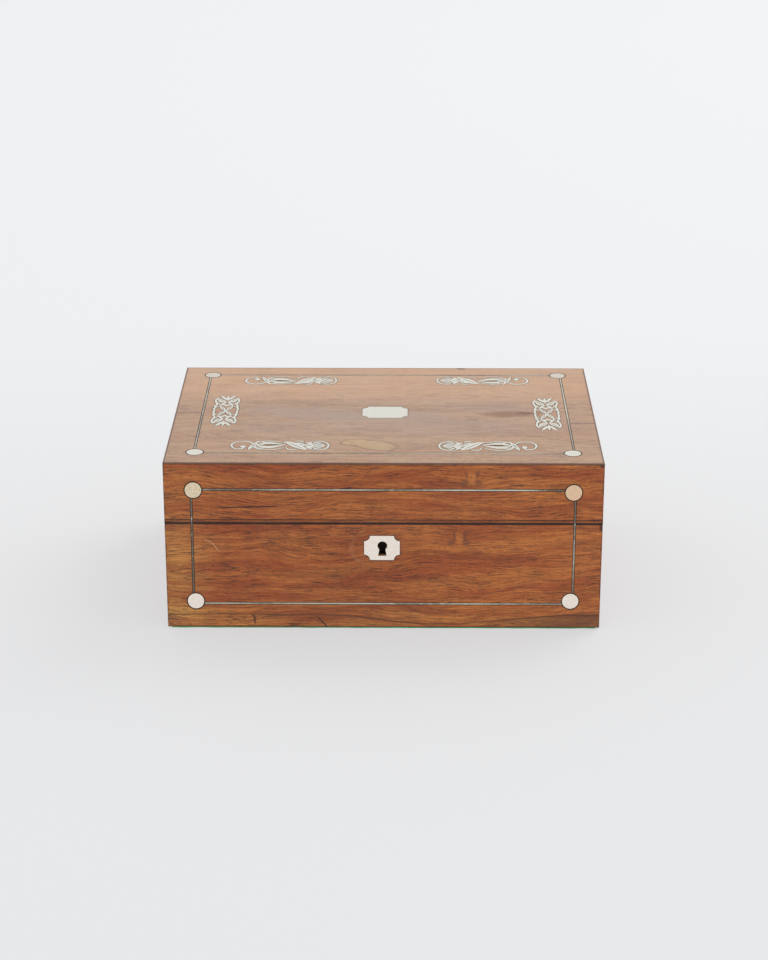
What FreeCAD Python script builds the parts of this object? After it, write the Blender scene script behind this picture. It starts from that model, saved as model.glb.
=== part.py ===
import FreeCAD, Part
import math
import os

# A cylinder musical box in an inlaid rosewood case, closed, standing on its baize pad.
# Millimetres. X runs along the case to the right, Y from the front to the back, Z up.
# The origin is the middle of the footprint, on the surface that the box stands on.

# ---------------------------------------------------------------- driving dimensions
LENGTH = 300.0
DEPTH = 202.0
WOOD_HEIGHT = 122.0
LID_HEIGHT = 44.0
BAIZE = 1.2
BAIZE_INSET_X = 2.4
BAIZE_INSET_Y = 0.8
BOARD = 9.0
VENEER = 1.0
BASE_BOARD = 7.0
TOP_BOARD = 7.0
RIM_GAP = 0.3
ARRIS = 0.5

HALF_X = LENGTH / 2
HALF_Y = DEPTH / 2
TOP_Z = BAIZE + WOOD_HEIGHT
JOINT_Z = TOP_Z - LID_HEIGHT - 0.1
BODY_RIM = JOINT_Z - RIM_GAP / 2
LID_RIM = JOINT_Z + RIM_GAP / 2
BOARD_X = HALF_X - VENEER
BOARD_Y = HALF_Y - VENEER
INNER_X = BOARD_X - BOARD
INNER_Y = BOARD_Y - BOARD
FLOOR_Z = BAIZE + BASE_BOARD
LID_BOARD_TOP = TOP_Z - VENEER
LID_HOLLOW_TOP = LID_BOARD_TOP - TOP_BOARD
EDGING = 2.5

# Inlay, on the front face and on the lid's top
DISC_R = 5.65
LINE_WIDTH = 1.0
MASTIC = 0.35
FRONT_LINE_X = (-131.3, 130.8)
FRONT_LINE_Z = (19.0, 103.7)
BODY_DISCS = [(-130.0, 20.7), (129.3, 21.2)]
LID_FRONT_DISCS = [(-129.8, 103.2), (129.5, 102.0)]
TOP_LINE_X = (-130.3, 130.7)
TOP_LINE_Y = (-82.0, 83.8)
LID_TOP_DISCS = [(-129.0, 83.3), (129.0, 83.7), (-129.7, -80.2), (129.5, -81.0)]
CARTOUCHE = (0.4, 1.6, 32.5, 23.8)
ESCUTCHEON = (-1.1, 60.9, 24.5, 18.0)
NOTCH_R = 4.0
KEYHOLE_X = -0.8
KEYHOLE_TOP_Z = 62.4
KEYHOLE_R = 3.4
KEYHOLE_FOOT_Z = 54.9
SCROLL_PROUD = 0.12
LONG_SCROLLS = [
    (-70.0, 71.0, 1, 1),
    (72.5, 71.6, -1, 1),
    (-71.9, -67.3, 1, -1),
    (71.9, -67.5, -1, -1),
]
SIDE_SCROLLS = [(-114.2, 3.9), (116.3, 1.5)]

# Lid hinge
HINGE_Y = HALF_Y - 2.5
KNUCKLE_R = 2.5
PIN_R = 0.97
BEVEL_DEG = 48.0
HINGE_X = (-95.0, 95.0)
HINGE_HALF = 24.0
HINGE_THIRD = 2 * HINGE_HALF / 3
HINGE_PLAY = 0.15
LEAF = 1.2
BODY_LEAF_TOP = JOINT_Z - 0.1
LID_LEAF_LOW = JOINT_Z + 0.1
HINGE_SCREW_X = [x + offset for x in HINGE_X for offset in (-17.0, 0.0, 17.0)]
HINGE_SCREW_Y = 93.9

# Lock
LOCK_X = (-22.0, 20.0)
LOCK_FRONT = -97.0
LOCK_LOW = 50.0
LOCK_WALL = 1.0
LOCK_PLATE_X = (-30.0, 28.0)
LOCK_PLATE_LOW = BODY_RIM - 1.4
HOOK_X = (-13.0, 11.0)
NOSE_Z = (71.0, 74.4)

# Compartments
WELL_BACK = -26.0
PARTITION = 6.0
BAY_FRONT = WELL_BACK + PARTITION
BAY_X = 98.0
PARTITION_TOP = 75.0
FRAME_TOP = 78.2
GLASS_X = 93.0
GLASS_Y = (-16.0, 81.0)
GLASS_LOW = 76.4
GLASS_REBATE = 2.0
GLASS_SCREWS = [(x, y) for x in (-101.0, 101.0) for y in (-8.0, 36.0, 78.0)]

# Padding and its frame
PAD_THICK = 5.0
LINING_PAD = (126.0, 77.0)
LINING_FRAME_OUTER = (132.0, 83.0)
LINING_FRAME_INNER = (126.4, 77.4)
LINING_FRAME_THICK = 4.0

# Screws
SCREW_HEAD_R = 1.9
SCREW_SHANK_R = 0.9
CHEESE_HEAD_R = 2.4
CHEESE_SHANK_R = 1.2
BOLT_HEAD_R = 4.0
BOLT_SHANK_R = 1.6

# Movement
BED_X = 96.0
BED_Y = (-14.0, 84.0)
BED_TOP = 22.0
BED_THICK = 4.0
BED_BOLTS = [(x, y) for x in (-84.0, 84.0) for y in (-7.0, 77.0)]
CYL_Y = 48.0
CYL_Z = 50.0
CYL_R = 17.0
CYL_X = (-48.0, 62.0)
PIN_HEIGHT = 0.85
TIP_GAP = 0.25
TEETH = 72
LEADED_TEETH = 24
PINS_PER_TOOTH = 3
MUSIC_PIN_R = 0.22
ARBOR_R = 2.5
RUN = 0.04
GREAT_TEETH = 72
GREAT_MODULE = 0.6
FIRST_PINION = 9
BARREL_TEETH = 60
BARREL_MODULE = 0.8
BARREL_PINION = 12
BARREL_Z = 49.0
WORM_TEETH = 20
WORM_MODULE = 0.5
WORM_R = 2.0
WORM_START = -90.0

BARREL_DIST = BARREL_MODULE * (BARREL_TEETH + BARREL_PINION) / 2
BARREL_Y = CYL_Y - math.sqrt(BARREL_DIST**2 - (CYL_Z - BARREL_Z) ** 2)
BARREL_ARBOR_R = 3.0
BARREL_R = 20.0
TRAIN_DIST = GREAT_MODULE * (GREAT_TEETH + FIRST_PINION) / 2
TRAIN_Y = 27.5
TRAIN_Z = CYL_Z - math.sqrt(TRAIN_DIST**2 - (CYL_Y - TRAIN_Y) ** 2)
WORM_X = 77.0
WORM_Y = TRAIN_Y - WORM_MODULE * WORM_TEETH / 2 - WORM_R
FLY_R = 7.0
FLY_Z = (46.2, 54.0)
LEVER_X = 112.0
LEVER_Z = 43.2
LEVER_DEG = 12.0
KNOB_X = 130.5
RATCHET_X = (-108.0, -105.6)
RATCHET_TIP_R = 11.0
RATCHET_ROOT_R = 9.2
RATCHET_TEETH = 24
CLICK_POST = (18.0, 8.5)
CLICK_POST_R = 1.4
CLICK_X = (-107.8, -105.6)
SPRING_TURNS = 7
SPRING_R = (5.2, 17.6)
SPRING_GAUGE = 0.45
SPRING_X = (-88.5, -67.5)

# A pinion is in mesh when one of its gaps faces a tooth of its wheel along the line of centres.
LINE_TO_BARREL = math.atan2(BARREL_Z - CYL_Z, BARREL_Y - CYL_Y)
PINION_TURN = LINE_TO_BARREL + math.pi / BARREL_PINION
BARREL_TURN = LINE_TO_BARREL + math.pi
LINE_TO_TRAIN = math.atan2(TRAIN_Z - CYL_Z, TRAIN_Y - CYL_Y)
GREAT_TURN = LINE_TO_TRAIN
FIRST_TURN = LINE_TO_TRAIN + math.pi + math.pi / FIRST_PINION

# Where the movement's screws stand
FOOT_TOP = BED_TOP + 3.0
COLUMN_FOOT = 2.4
COMB_SCREWS = [(-42.0 + 16.3 * i, -4.0) for i in range(7)]
COCK_FEET = [(-53.5, 37.0), (-53.5, 59.0), (74.5, 37.5), (74.5, 59.0), (-94.2, 7.0), (-94.2, 31.0)]
COCK_FEET += [(-56.2, 8.0), (-56.2, 30.5), (78.0, 31.5)]
COLUMN_SCREWS = [(73.5, 6.8), (80.5, 6.8)]


# ---------------------------------------------------------------- helpers
def block(x, y, z):
    """A box from three (low, high) pairs."""
    return Part.makeBox(x[1] - x[0], y[1] - y[0], z[1] - z[0], FreeCAD.Vector(x[0], y[0], z[0]))


def rod(axis, centre, radius, span):
    """A round rod along an axis; centre holds the other two coordinates in order."""
    length = span[1] - span[0]
    if axis == "x":
        place, way = (span[0], centre[0], centre[1]), (1, 0, 0)
    elif axis == "y":
        place, way = (centre[0], span[0], centre[1]), (0, 1, 0)
    else:
        place, way = (centre[0], centre[1], span[0]), (0, 0, 1)
    return Part.makeCylinder(radius, length, FreeCAD.Vector(*place), FreeCAD.Vector(*way))


def ring(axis, centre, outer, inner, span):
    return rod(axis, centre, outer, span).cut(rod(axis, centre, inner, span))


def prism(points, axis, span):
    """A straight-sided outline in the plane across the axis, extruded along it."""
    if axis == "x":
        corners = [FreeCAD.Vector(span[0], a, b) for a, b in points]
        way = FreeCAD.Vector(span[1] - span[0], 0, 0)
    elif axis == "y":
        corners = [FreeCAD.Vector(a, span[0], b) for a, b in points]
        way = FreeCAD.Vector(0, span[1] - span[0], 0)
    else:
        corners = [FreeCAD.Vector(a, b, span[0]) for a, b in points]
        way = FreeCAD.Vector(0, 0, span[1] - span[0])
    return Part.Face(Part.makePolygon(corners + corners[:1])).extrude(way)


def trim(shape, *tools):
    """The shape with every tool cut away."""
    return shape.cut(list(tools)) if tools else shape


def joined(first, *rest):
    return first.fuse(list(rest)).removeSplitter()


def save(name, *shapes):
    """Write one node; several solids share it side by side."""
    solids = [solid for shape in shapes for solid in shape.Solids]
    whole = solids[0] if len(solids) == 1 else Part.makeCompound(solids)
    if not whole.isValid():
        print("INVALID", name)
    whole.exportStep("parts/" + name + ".step")
    print(name, len(solids), round(sum(solid.Volume for solid in solids), 1))


def polar(centre, radius, angle):
    return (centre[0] + radius * math.cos(angle), centre[1] + radius * math.sin(angle))


def gear(teeth, module, axis, centre, span, bore, turn):
    """A spur wheel with involute flanks, backlash and a round bore."""
    pitch_r = module * teeth / 2
    base_r = pitch_r * math.cos(math.radians(20))
    root_r = pitch_r - 1.15 * module
    tip_r = pitch_r + 0.75 * module
    half = math.pi / (2 * teeth) * 0.84
    flare = math.tan(math.radians(20)) - math.radians(20)

    def half_angle(radius):
        angle = math.acos(min(1.0, base_r / max(radius, base_r)))
        return max(half + flare - (math.tan(angle) - angle), 0.012)

    radii = [root_r, max(root_r, base_r), pitch_r, (pitch_r + tip_r) / 2, tip_r]
    points = []
    for tooth in range(teeth):
        middle = turn + 2 * math.pi * tooth / teeth
        flank = [(radius, half_angle(radius)) for radius in radii]
        for radius, angle in flank:
            points.append((radius, middle - angle))
        for radius, angle in reversed(flank):
            points.append((radius, middle + angle))
    outline = [polar(centre, radius, angle) for radius, angle in points]
    clean = [p for i, p in enumerate(outline) if math.dist(p, outline[i - 1]) > 1e-4]
    wheel = prism(clean, axis, span)
    return wheel.cut(rod(axis, centre, bore, span)) if bore else wheel


def notched_plate(centre, size, thickness, axis, low):
    """A plate with a quarter-round bite at each corner, across the given axis."""
    a, b = centre
    half_a, half_b = size[0] / 2, size[1] / 2
    span = (low, low + thickness)
    if axis == "y":
        plate = block((a - half_a, a + half_a), span, (b - half_b, b + half_b))
    else:
        plate = block((a - half_a, a + half_a), (b - half_b, b + half_b), span)
    bites = [rod(axis, (a + i * half_a, b + j * half_b), NOTCH_R, span) for i in (-1, 1) for j in (-1, 1)]
    return trim(plate, *bites)


def keyhole(grow, span):
    """The keyhole's round head and its leg that flares downwards."""
    head = rod("y", (KEYHOLE_X, KEYHOLE_TOP_Z), KEYHOLE_R + grow, span)
    waist, foot = 1.9 + grow, 3.0 + grow
    low = KEYHOLE_FOOT_Z - grow
    leg = [
        (KEYHOLE_X - waist, KEYHOLE_TOP_Z - 1.5),
        (KEYHOLE_X - foot, low),
        (KEYHOLE_X + foot, low),
        (KEYHOLE_X + waist, KEYHOLE_TOP_Z - 1.5),
    ]
    return joined(head, prism(leg, "y", span))


# ---------------------------------------------------------------- shared cutters
def rim_bevel(sign):
    """The wedge cut from the back rims, below (-1) or above (+1) the hinge line."""
    reach = 4.0
    far_z = JOINT_Z + sign * reach * math.tan(math.radians(BEVEL_DEG))
    past_z = JOINT_Z - sign
    points = [(HINGE_Y, JOINT_Z), (HINGE_Y + reach, far_z), (HINGE_Y + reach, past_z), (HINGE_Y, past_z)]
    return prism(points, "x", (-HALF_X - 1, HALF_X + 1))


def hinge_seats(low, high):
    """The room for both hinges in one rim: the leaf's seat and the knuckle's round."""
    tools = []
    for x in HINGE_X:
        span = (x - HINGE_HALF, x + HINGE_HALF)
        tools.append(block(span, (INNER_Y - 0.01, HINGE_Y), (low, high)))
        tools.append(rod("x", (HINGE_Y, JOINT_Z), KNUCKLE_R + 0.25, (span[0] - 0.25, span[1] + 0.25)))
    return tools


def front_inlay_room(discs, line_z, ends):
    """The veneer's pockets for the discs and the stringing of one part of the front."""
    span = (-HALF_Y - 1, -BOARD_Y)
    half = LINE_WIDTH / 2 + MASTIC
    tools = [rod("y", disc, DISC_R + MASTIC, span) for disc in discs]
    tools += [block((x - half, x + half), span, ends) for x in FRONT_LINE_X]
    across = (FRONT_LINE_X[0] - half, FRONT_LINE_X[1] + half)
    tools.append(block(across, span, (line_z - half, line_z + half)))
    return tools


def stringing_front(discs, line_z, ends):
    """Three strips of white metal, which stop at the discs."""
    span = (-HALF_Y, -BOARD_Y)
    half = LINE_WIDTH / 2
    rooms = [rod("y", disc, DISC_R + MASTIC, span) for disc in discs]
    strips = [block((x - half, x + half), span, ends) for x in FRONT_LINE_X]
    strips.append(block(FRONT_LINE_X, span, (line_z - half, line_z + half)))
    return [trim(strip, *rooms) for strip in strips]


def sunk_screw(x, y, top, down, length=8.0):
    """A countersunk wood screw with a slot; down is -1 when it points down."""
    way = FreeCAD.Vector(0, 0, down)
    start = FreeCAD.Vector(x, y, top)
    cone = Part.makeCone(SCREW_HEAD_R, SCREW_SHANK_R, 1.1, start, way)
    shank = Part.makeCylinder(SCREW_SHANK_R, length, start, way)
    return joined(cone, shank)


def slotted(screw, x, y, top, down):
    depth = 0.4
    low, high = sorted((top, top + down * depth))
    return screw.cut(block((x - 2.5, x + 2.5), (y - 0.25, y + 0.25), (low, high)))


def cheese_screw(x, y, seat, length=5.0):
    """A cheese-headed machine screw with a slot, standing on a seat."""
    head = rod("z", (x, y), CHEESE_HEAD_R, (seat, seat + 2.2))
    shank = rod("z", (x, y), CHEESE_SHANK_R, (seat - length, seat))
    slot = block((x - 3, x + 3), (y - 0.35, y + 0.35), (seat + 1.3, seat + 2.3))
    return joined(head, shank).cut(slot)


# ---------------------------------------------------------------- case body
def case_body():
    bevel = rim_bevel(-1)
    seats = hinge_seats(BODY_LEAF_TOP - LEAF, JOINT_Z + 1)
    screws = [sunk_screw(x, HINGE_SCREW_Y, BODY_LEAF_TOP, -1) for x in HINGE_SCREW_X]
    height = (BAIZE, BODY_RIM)

    pad_x, pad_y = HALF_X - BAIZE_INSET_X, HALF_Y - BAIZE_INSET_Y
    save("baize_pad", block((-pad_x, pad_x), (-pad_y, pad_y), (0.0, BAIZE)))
    bolts = [rod("z", place, BOLT_SHANK_R, (BAIZE, FLOOR_Z)) for place in BED_BOLTS]
    base = block((-INNER_X, INNER_X), (-INNER_Y, INNER_Y), (BAIZE, FLOOR_Z))
    save("base_board", trim(base, *bolts))

    front = block((-INNER_X, INNER_X), (-BOARD_Y, -INNER_Y), height)
    mortise = block(LOCK_X, (LOCK_FRONT, -INNER_Y + 1), (LOCK_LOW, BODY_RIM + 1))
    rebate = block(LOCK_PLATE_X, (LOCK_FRONT, -INNER_Y + 1), (LOCK_PLATE_LOW, BODY_RIM + 1))
    face = block(LOCK_PLATE_X, (-INNER_Y - 1.0, -INNER_Y + 1), (LOCK_LOW - 2, BODY_RIM + 1))
    hole = keyhole(0.0, (-BOARD_Y - 1, LOCK_FRONT + 1))
    save("body_front_board", trim(front, mortise, rebate, face, hole))

    back = block((-INNER_X, INNER_X), (INNER_Y, BOARD_Y), height)
    save("body_back_board", trim(back, bevel, *seats, *screws))
    sides = [block((x, x + BOARD), (-BOARD_Y, BOARD_Y), height).cut(bevel) for x in (-BOARD_X, INNER_X)]
    save("body_side_boards", *sides)

    face_veneer = block((-HALF_X, HALF_X), (-HALF_Y, -BOARD_Y), height)
    plate_room = notched_plate(
        ESCUTCHEON[:2], (ESCUTCHEON[2] + 0.5, ESCUTCHEON[3] + 0.5), VENEER, "y", -HALF_Y
    )
    rooms = front_inlay_room(BODY_DISCS, FRONT_LINE_Z[0], (FRONT_LINE_Z[0], BODY_RIM + 1))
    face_veneer = trim(face_veneer, plate_room, *rooms)
    back_veneer = trim(block((-HALF_X, HALF_X), (BOARD_Y, HALF_Y), height), bevel, *seats)
    side_veneers = [
        block((x, x + VENEER), (-BOARD_Y, BOARD_Y), height).cut(bevel) for x in (-HALF_X, BOARD_X)
    ]
    save("body_veneer", soften(face_veneer, -HALF_Y), soften(back_veneer, HALF_Y), *side_veneers)

    ends = (FRONT_LINE_Z[0], BODY_RIM)
    save("body_stringing", *stringing_front(BODY_DISCS, FRONT_LINE_Z[0], ends))
    save("body_discs", *[rod("y", disc, DISC_R, (-HALF_Y, -BOARD_Y)) for disc in BODY_DISCS])
    plate = notched_plate(ESCUTCHEON[:2], ESCUTCHEON[2:], VENEER, "y", -HALF_Y)
    save("keyhole_escutcheon", plate.cut(keyhole(0.0, (-HALF_Y - 1, -BOARD_Y + 1))))


def soften(shape, face_y):
    """Round the upright outer arrises of a front or back sheet."""
    edges = []
    for edge in shape.Edges:
        box = edge.BoundBox
        upright = box.XLength < 1e-6 and box.YLength < 1e-6 and box.ZLength > 10
        at_corner = abs(abs(box.XMin) - HALF_X) < 1e-6 and abs(box.YMin - face_y) < 1e-6
        if upright and at_corner:
            edges.append(edge)
    return shape.makeFillet(ARRIS, edges)


# ---------------------------------------------------------------- lock
def lock():
    """A box lock let into the front board, its sliding bolt, and the link plate's hooks."""
    wall = LOCK_WALL
    case = block(LOCK_X, (LOCK_FRONT, -INNER_Y - wall), (LOCK_LOW, LOCK_PLATE_LOW))
    inside = (LOCK_X[0] + wall, LOCK_X[1] - wall)
    hollow = block(inside, (LOCK_FRONT + wall, -INNER_Y - wall), (LOCK_LOW + wall, LOCK_PLATE_LOW))
    plate = block(LOCK_PLATE_X, (LOCK_FRONT, -INNER_Y), (LOCK_PLATE_LOW, BODY_RIM))
    cover = block(LOCK_PLATE_X, (-INNER_Y - wall, -INNER_Y), (LOCK_LOW - 2, LOCK_PLATE_LOW))
    slot_z = (LOCK_PLATE_LOW - 1, BODY_RIM + 1)
    slots = [block((x - 3.4, x + 3.4), (-96.4, -92.6), slot_z) for x in HOOK_X]
    hole = keyhole(0.0, (LOCK_FRONT - 1, LOCK_FRONT + 2))
    shell = joined(case.cut(hollow), plate, cover)
    save("lock_case", trim(shell, hole, *slots))

    bar = block((-20.4, 12.0), (-95.6, -93.4), (64.6, 68.4))
    noses = []
    for x in HOOK_X:
        noses.append(block((x - 7.2, x - 5.6), (-95.2, -93.8), (66.0, NOSE_Z[1])))
        noses.append(block((x - 7.2, x - 2.6), (-95.2, -93.8), NOSE_Z))
    save("lock_bolt", joined(bar, *noses))

    link = block((-24.0, 22.0), (-96.6, -91.6), (LID_RIM, LID_RIM + 1.5))
    hooks = []
    for x in HOOK_X:
        tab = block((x - 2.2, x + 2.2), (-95.3, -93.7), (69.0, LID_RIM + 0.5))
        eye = block((x - 3.0, x + 1.2), (-96.0, -93.0), (NOSE_Z[0] - 0.6, NOSE_Z[1] + 0.8))
        hooks.append(tab.cut(eye))
    save("lid_link_plate", joined(link, *hooks))


# ---------------------------------------------------------------- lid
def case_lid():
    bevel = rim_bevel(1)
    seats = hinge_seats(JOINT_Z - 1, LID_LEAF_LOW + LEAF)
    screws = [sunk_screw(x, HINGE_SCREW_Y, LID_LEAF_LOW, 1) for x in HINGE_SCREW_X]
    wall = (LID_RIM, LID_HOLLOW_TOP)

    board_z = (LID_HOLLOW_TOP, LID_BOARD_TOP)
    save("lid_top_board", block((-BOARD_X, BOARD_X), (-BOARD_Y, BOARD_Y), board_z))
    front = block((-INNER_X, INNER_X), (-BOARD_Y, -INNER_Y), wall)
    link_room = block((-24.0, 22.0), (-96.6, -91.6), (LID_RIM - 1, LID_RIM + 1.5))
    save("lid_front_board", front.cut(link_room))
    back = block((-INNER_X, INNER_X), (INNER_Y, BOARD_Y), wall)
    save("lid_back_board", trim(back, bevel, *seats, *screws))
    sides = [block((x, x + BOARD), (-BOARD_Y, BOARD_Y), wall).cut(bevel) for x in (-BOARD_X, INNER_X)]
    save("lid_side_boards", *sides)

    top = block((-HALF_X, HALF_X), (-HALF_Y, HALF_Y), (LID_BOARD_TOP, TOP_Z))
    save("lid_top_veneer", round_top(trim(top, *top_inlay_room())))

    above = (LID_RIM + EDGING, LID_BOARD_TOP)
    rooms = front_inlay_room(LID_FRONT_DISCS, FRONT_LINE_Z[1], (LID_RIM - 1, FRONT_LINE_Z[1]))
    face = trim(block((-HALF_X, HALF_X), (-HALF_Y, -BOARD_Y), above), *rooms)
    rear = trim(block((-HALF_X, HALF_X), (BOARD_Y, HALF_Y), (LID_RIM, LID_BOARD_TOP)), bevel, *seats)
    sides = [block((x, x + VENEER), (-BOARD_Y, BOARD_Y), above).cut(bevel) for x in (-HALF_X, BOARD_X)]
    save("lid_veneer", soften(face, -HALF_Y), soften(rear, HALF_Y), *sides)

    low = (LID_RIM, LID_RIM + EDGING - 0.12)
    strips = [trim(block((-HALF_X, HALF_X), (-HALF_Y, -BOARD_Y), low), *rooms)]
    strips += [block((x, x + VENEER), (-BOARD_Y, BOARD_Y), low).cut(bevel) for x in (-HALF_X, BOARD_X)]
    save("lid_edging", *strips)

    front_strips = stringing_front(LID_FRONT_DISCS, FRONT_LINE_Z[1], (LID_RIM, FRONT_LINE_Z[1]))
    save("lid_stringing", *front_strips, *top_stringing())
    front_discs = [rod("y", disc, DISC_R, (-HALF_Y, -BOARD_Y)) for disc in LID_FRONT_DISCS]
    top_discs = [rod("z", disc, DISC_R, (LID_BOARD_TOP, TOP_Z)) for disc in LID_TOP_DISCS]
    cartouche = notched_plate(CARTOUCHE[:2], CARTOUCHE[2:], VENEER, "z", LID_BOARD_TOP)
    save("lid_pearl", *front_discs, *top_discs, cartouche)
    save("lid_scroll_inlays", *scroll_inlays())



def lid_lining():
    """A padded panel under the lid's top board, and the mouldings that frame it."""
    x, y = LINING_PAD
    save("lid_lining_pad", block((-x, x), (-y, y), (LID_HOLLOW_TOP - PAD_THICK, LID_HOLLOW_TOP)))
    outer_x, outer_y = LINING_FRAME_OUTER
    inner_x, inner_y = LINING_FRAME_INNER
    strip_z = (LID_HOLLOW_TOP - LINING_FRAME_THICK, LID_HOLLOW_TOP)
    mouldings = []
    for span in ((-outer_y, -inner_y), (inner_y, outer_y)):
        mouldings.append(block((-outer_x, outer_x), span, strip_z))
    for span in ((-outer_x, -inner_x), (inner_x, outer_x)):
        mouldings.append(block(span, (-inner_y, inner_y), strip_z))
    save("lid_lining_frame", *mouldings)


def round_top(shape):
    """Round the four long top arrises of the lid's top sheet."""
    edges = []
    for edge in shape.Edges:
        box = edge.BoundBox
        level = box.ZLength < 1e-6 and abs(box.ZMax - TOP_Z) < 1e-6
        along_x = box.YLength < 1e-6 and abs(abs(box.YMin) - HALF_Y) < 1e-6 and box.XLength > 10
        along_y = box.XLength < 1e-6 and abs(abs(box.XMin) - HALF_X) < 1e-6 and box.YLength > 10
        if level and (along_x or along_y):
            edges.append(edge)
    return shape.makeFillet(ARRIS, edges)


def top_inlay_room():
    span = (LID_BOARD_TOP, TOP_Z + 1)
    half = LINE_WIDTH / 2 + MASTIC
    x, y = TOP_LINE_X, TOP_LINE_Y
    tools = [rod("z", disc, DISC_R + MASTIC, span) for disc in LID_TOP_DISCS]
    tools += [block((a - half, a + half), y, span) for a in x]
    tools += [block(x, (b - half, b + half), span) for b in y]
    size = (CARTOUCHE[2] + 0.5, CARTOUCHE[3] + 0.5)
    tools.append(notched_plate(CARTOUCHE[:2], size, VENEER + 1, "z", LID_BOARD_TOP))
    return tools


def top_stringing():
    span = (LID_BOARD_TOP, TOP_Z)
    half = LINE_WIDTH / 2
    rooms = [rod("z", disc, DISC_R + MASTIC, span) for disc in LID_TOP_DISCS]
    strips = [block((a - half, a + half), TOP_LINE_Y, span) for a in TOP_LINE_X]
    strips += [block(TOP_LINE_X, (b - half, b + half), span) for b in TOP_LINE_Y]
    return [trim(strip, *rooms) for strip in strips]


def leaf(start, end, bulge):
    """A pointed leaf between two points: two arcs that meet at its tips."""
    middle = ((start[0] + end[0]) / 2, (start[1] + end[1]) / 2)
    along = (end[0] - start[0], end[1] - start[1])
    length = math.hypot(*along)
    side = (-along[1] / length * bulge, along[0] / length * bulge)
    first, last = FreeCAD.Vector(*start, 0), FreeCAD.Vector(*end, 0)
    one = FreeCAD.Vector(middle[0] + side[0], middle[1] + side[1], 0)
    two = FreeCAD.Vector(middle[0] - side[0], middle[1] - side[1], 0)
    arcs = [Part.Arc(first, one, last).toShape(), Part.Arc(last, two, first).toShape()]
    return Part.Face(Part.Wire(arcs)).extrude(FreeCAD.Vector(0, 0, SCROLL_PROUD))


def curl(centre, radius, width, start, end):
    """A band of pearl that follows part of a circle."""
    middle = FreeCAD.Vector(centre[0], centre[1], 0)
    sweep = end - start
    outer = Part.makeCylinder(radius, SCROLL_PROUD, middle, FreeCAD.Vector(0, 0, 1), sweep)
    inner = Part.makeCylinder(radius - width, SCROLL_PROUD, middle, FreeCAD.Vector(0, 0, 1), sweep)
    return outer.cut(inner).rotate(middle, FreeCAD.Vector(0, 0, 1), start)


def long_scroll():
    """A leafy scroll, drawn about its middle with the flower at its +X end."""
    flower = rod("z", (26.0, 0.0), 4.6, (0.0, SCROLL_PROUD))
    petals = [
        leaf(
            (26.0 + 5.0 * math.cos(math.radians(a)), 5.0 * math.sin(math.radians(a))),
            (26.0 + 7.9 * math.cos(math.radians(a)), 7.9 * math.sin(math.radians(a))),
            1.3,
        )
        for a in (0, 45, 90, 135, 225, 270, 315)
    ]
    leaves = [
        leaf((-30.0, 0.5), (-18.0, 7.0), 2.2),
        leaf((-20.0, -1.5), (-6.0, 3.0), 3.2),
        leaf((-5.0, -6.0), (8.0, 5.0), 3.4),
        leaf((9.0, 3.5), (17.0, -4.5), 2.0),
        leaf((-16.0, -7.4), (-4.0, -7.6), 1.0),
    ]
    curls = [
        curl((-27.5, -2.5), 5.8, 1.4, 95, 350),
        curl((12.0, -4.0), 4.4, 1.3, 150, 330),
        curl((-12.0, 2.0), 6.8, 1.1, 25, 120),
    ]
    pieces = [flower] + petals
    for piece in leaves + curls:
        pieces.append(trim(piece, *pieces))
    return Part.makeCompound([solid for piece in pieces for solid in piece.Solids])


def side_scroll():
    """A crossing pair of stems with leaves at both ends, drawn about its middle."""
    pieces = [leaf((-5.0, -9.0), (5.0, 9.0), 1.6)]
    pieces.append(trim(leaf((-5.0, 9.0), (5.0, -9.0), 1.6), pieces[0]))
    for end in (-1, 1):
        marks = [
            leaf((0.0, 20.0 * end), (0.0, 33.5 * end), 2.4),
            leaf((-1.2, 17.0 * end), (-8.0, 30.0 * end), 2.2),
            leaf((1.2, 17.0 * end), (8.0, 30.0 * end), 2.2),
            leaf((-8.2, 9.0 * end), (-5.4, 19.0 * end), 0.9),
            leaf((8.2, 9.0 * end), (5.4, 19.0 * end), 0.9),
        ]
        for mark in marks:
            pieces.append(trim(mark, *pieces))
    return Part.makeCompound([solid for piece in pieces for solid in piece.Solids])


def scroll_inlays():
    """Four long scrolls along the front and back of the top, and one at each end."""
    placed = []
    for x, y, flip_x, flip_y in LONG_SCROLLS:
        shape = long_scroll()
        if flip_x < 0:
            shape = shape.mirror(FreeCAD.Vector(0, 0, 0), FreeCAD.Vector(1, 0, 0))
        if flip_y < 0:
            shape = shape.mirror(FreeCAD.Vector(0, 0, 0), FreeCAD.Vector(0, 1, 0))
        shape.translate(FreeCAD.Vector(x, y, TOP_Z))
        placed.append(shape)
    for x, y in SIDE_SCROLLS:
        shape = side_scroll()
        shape.translate(FreeCAD.Vector(x, y, TOP_Z))
        placed.append(shape)
    return placed


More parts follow.
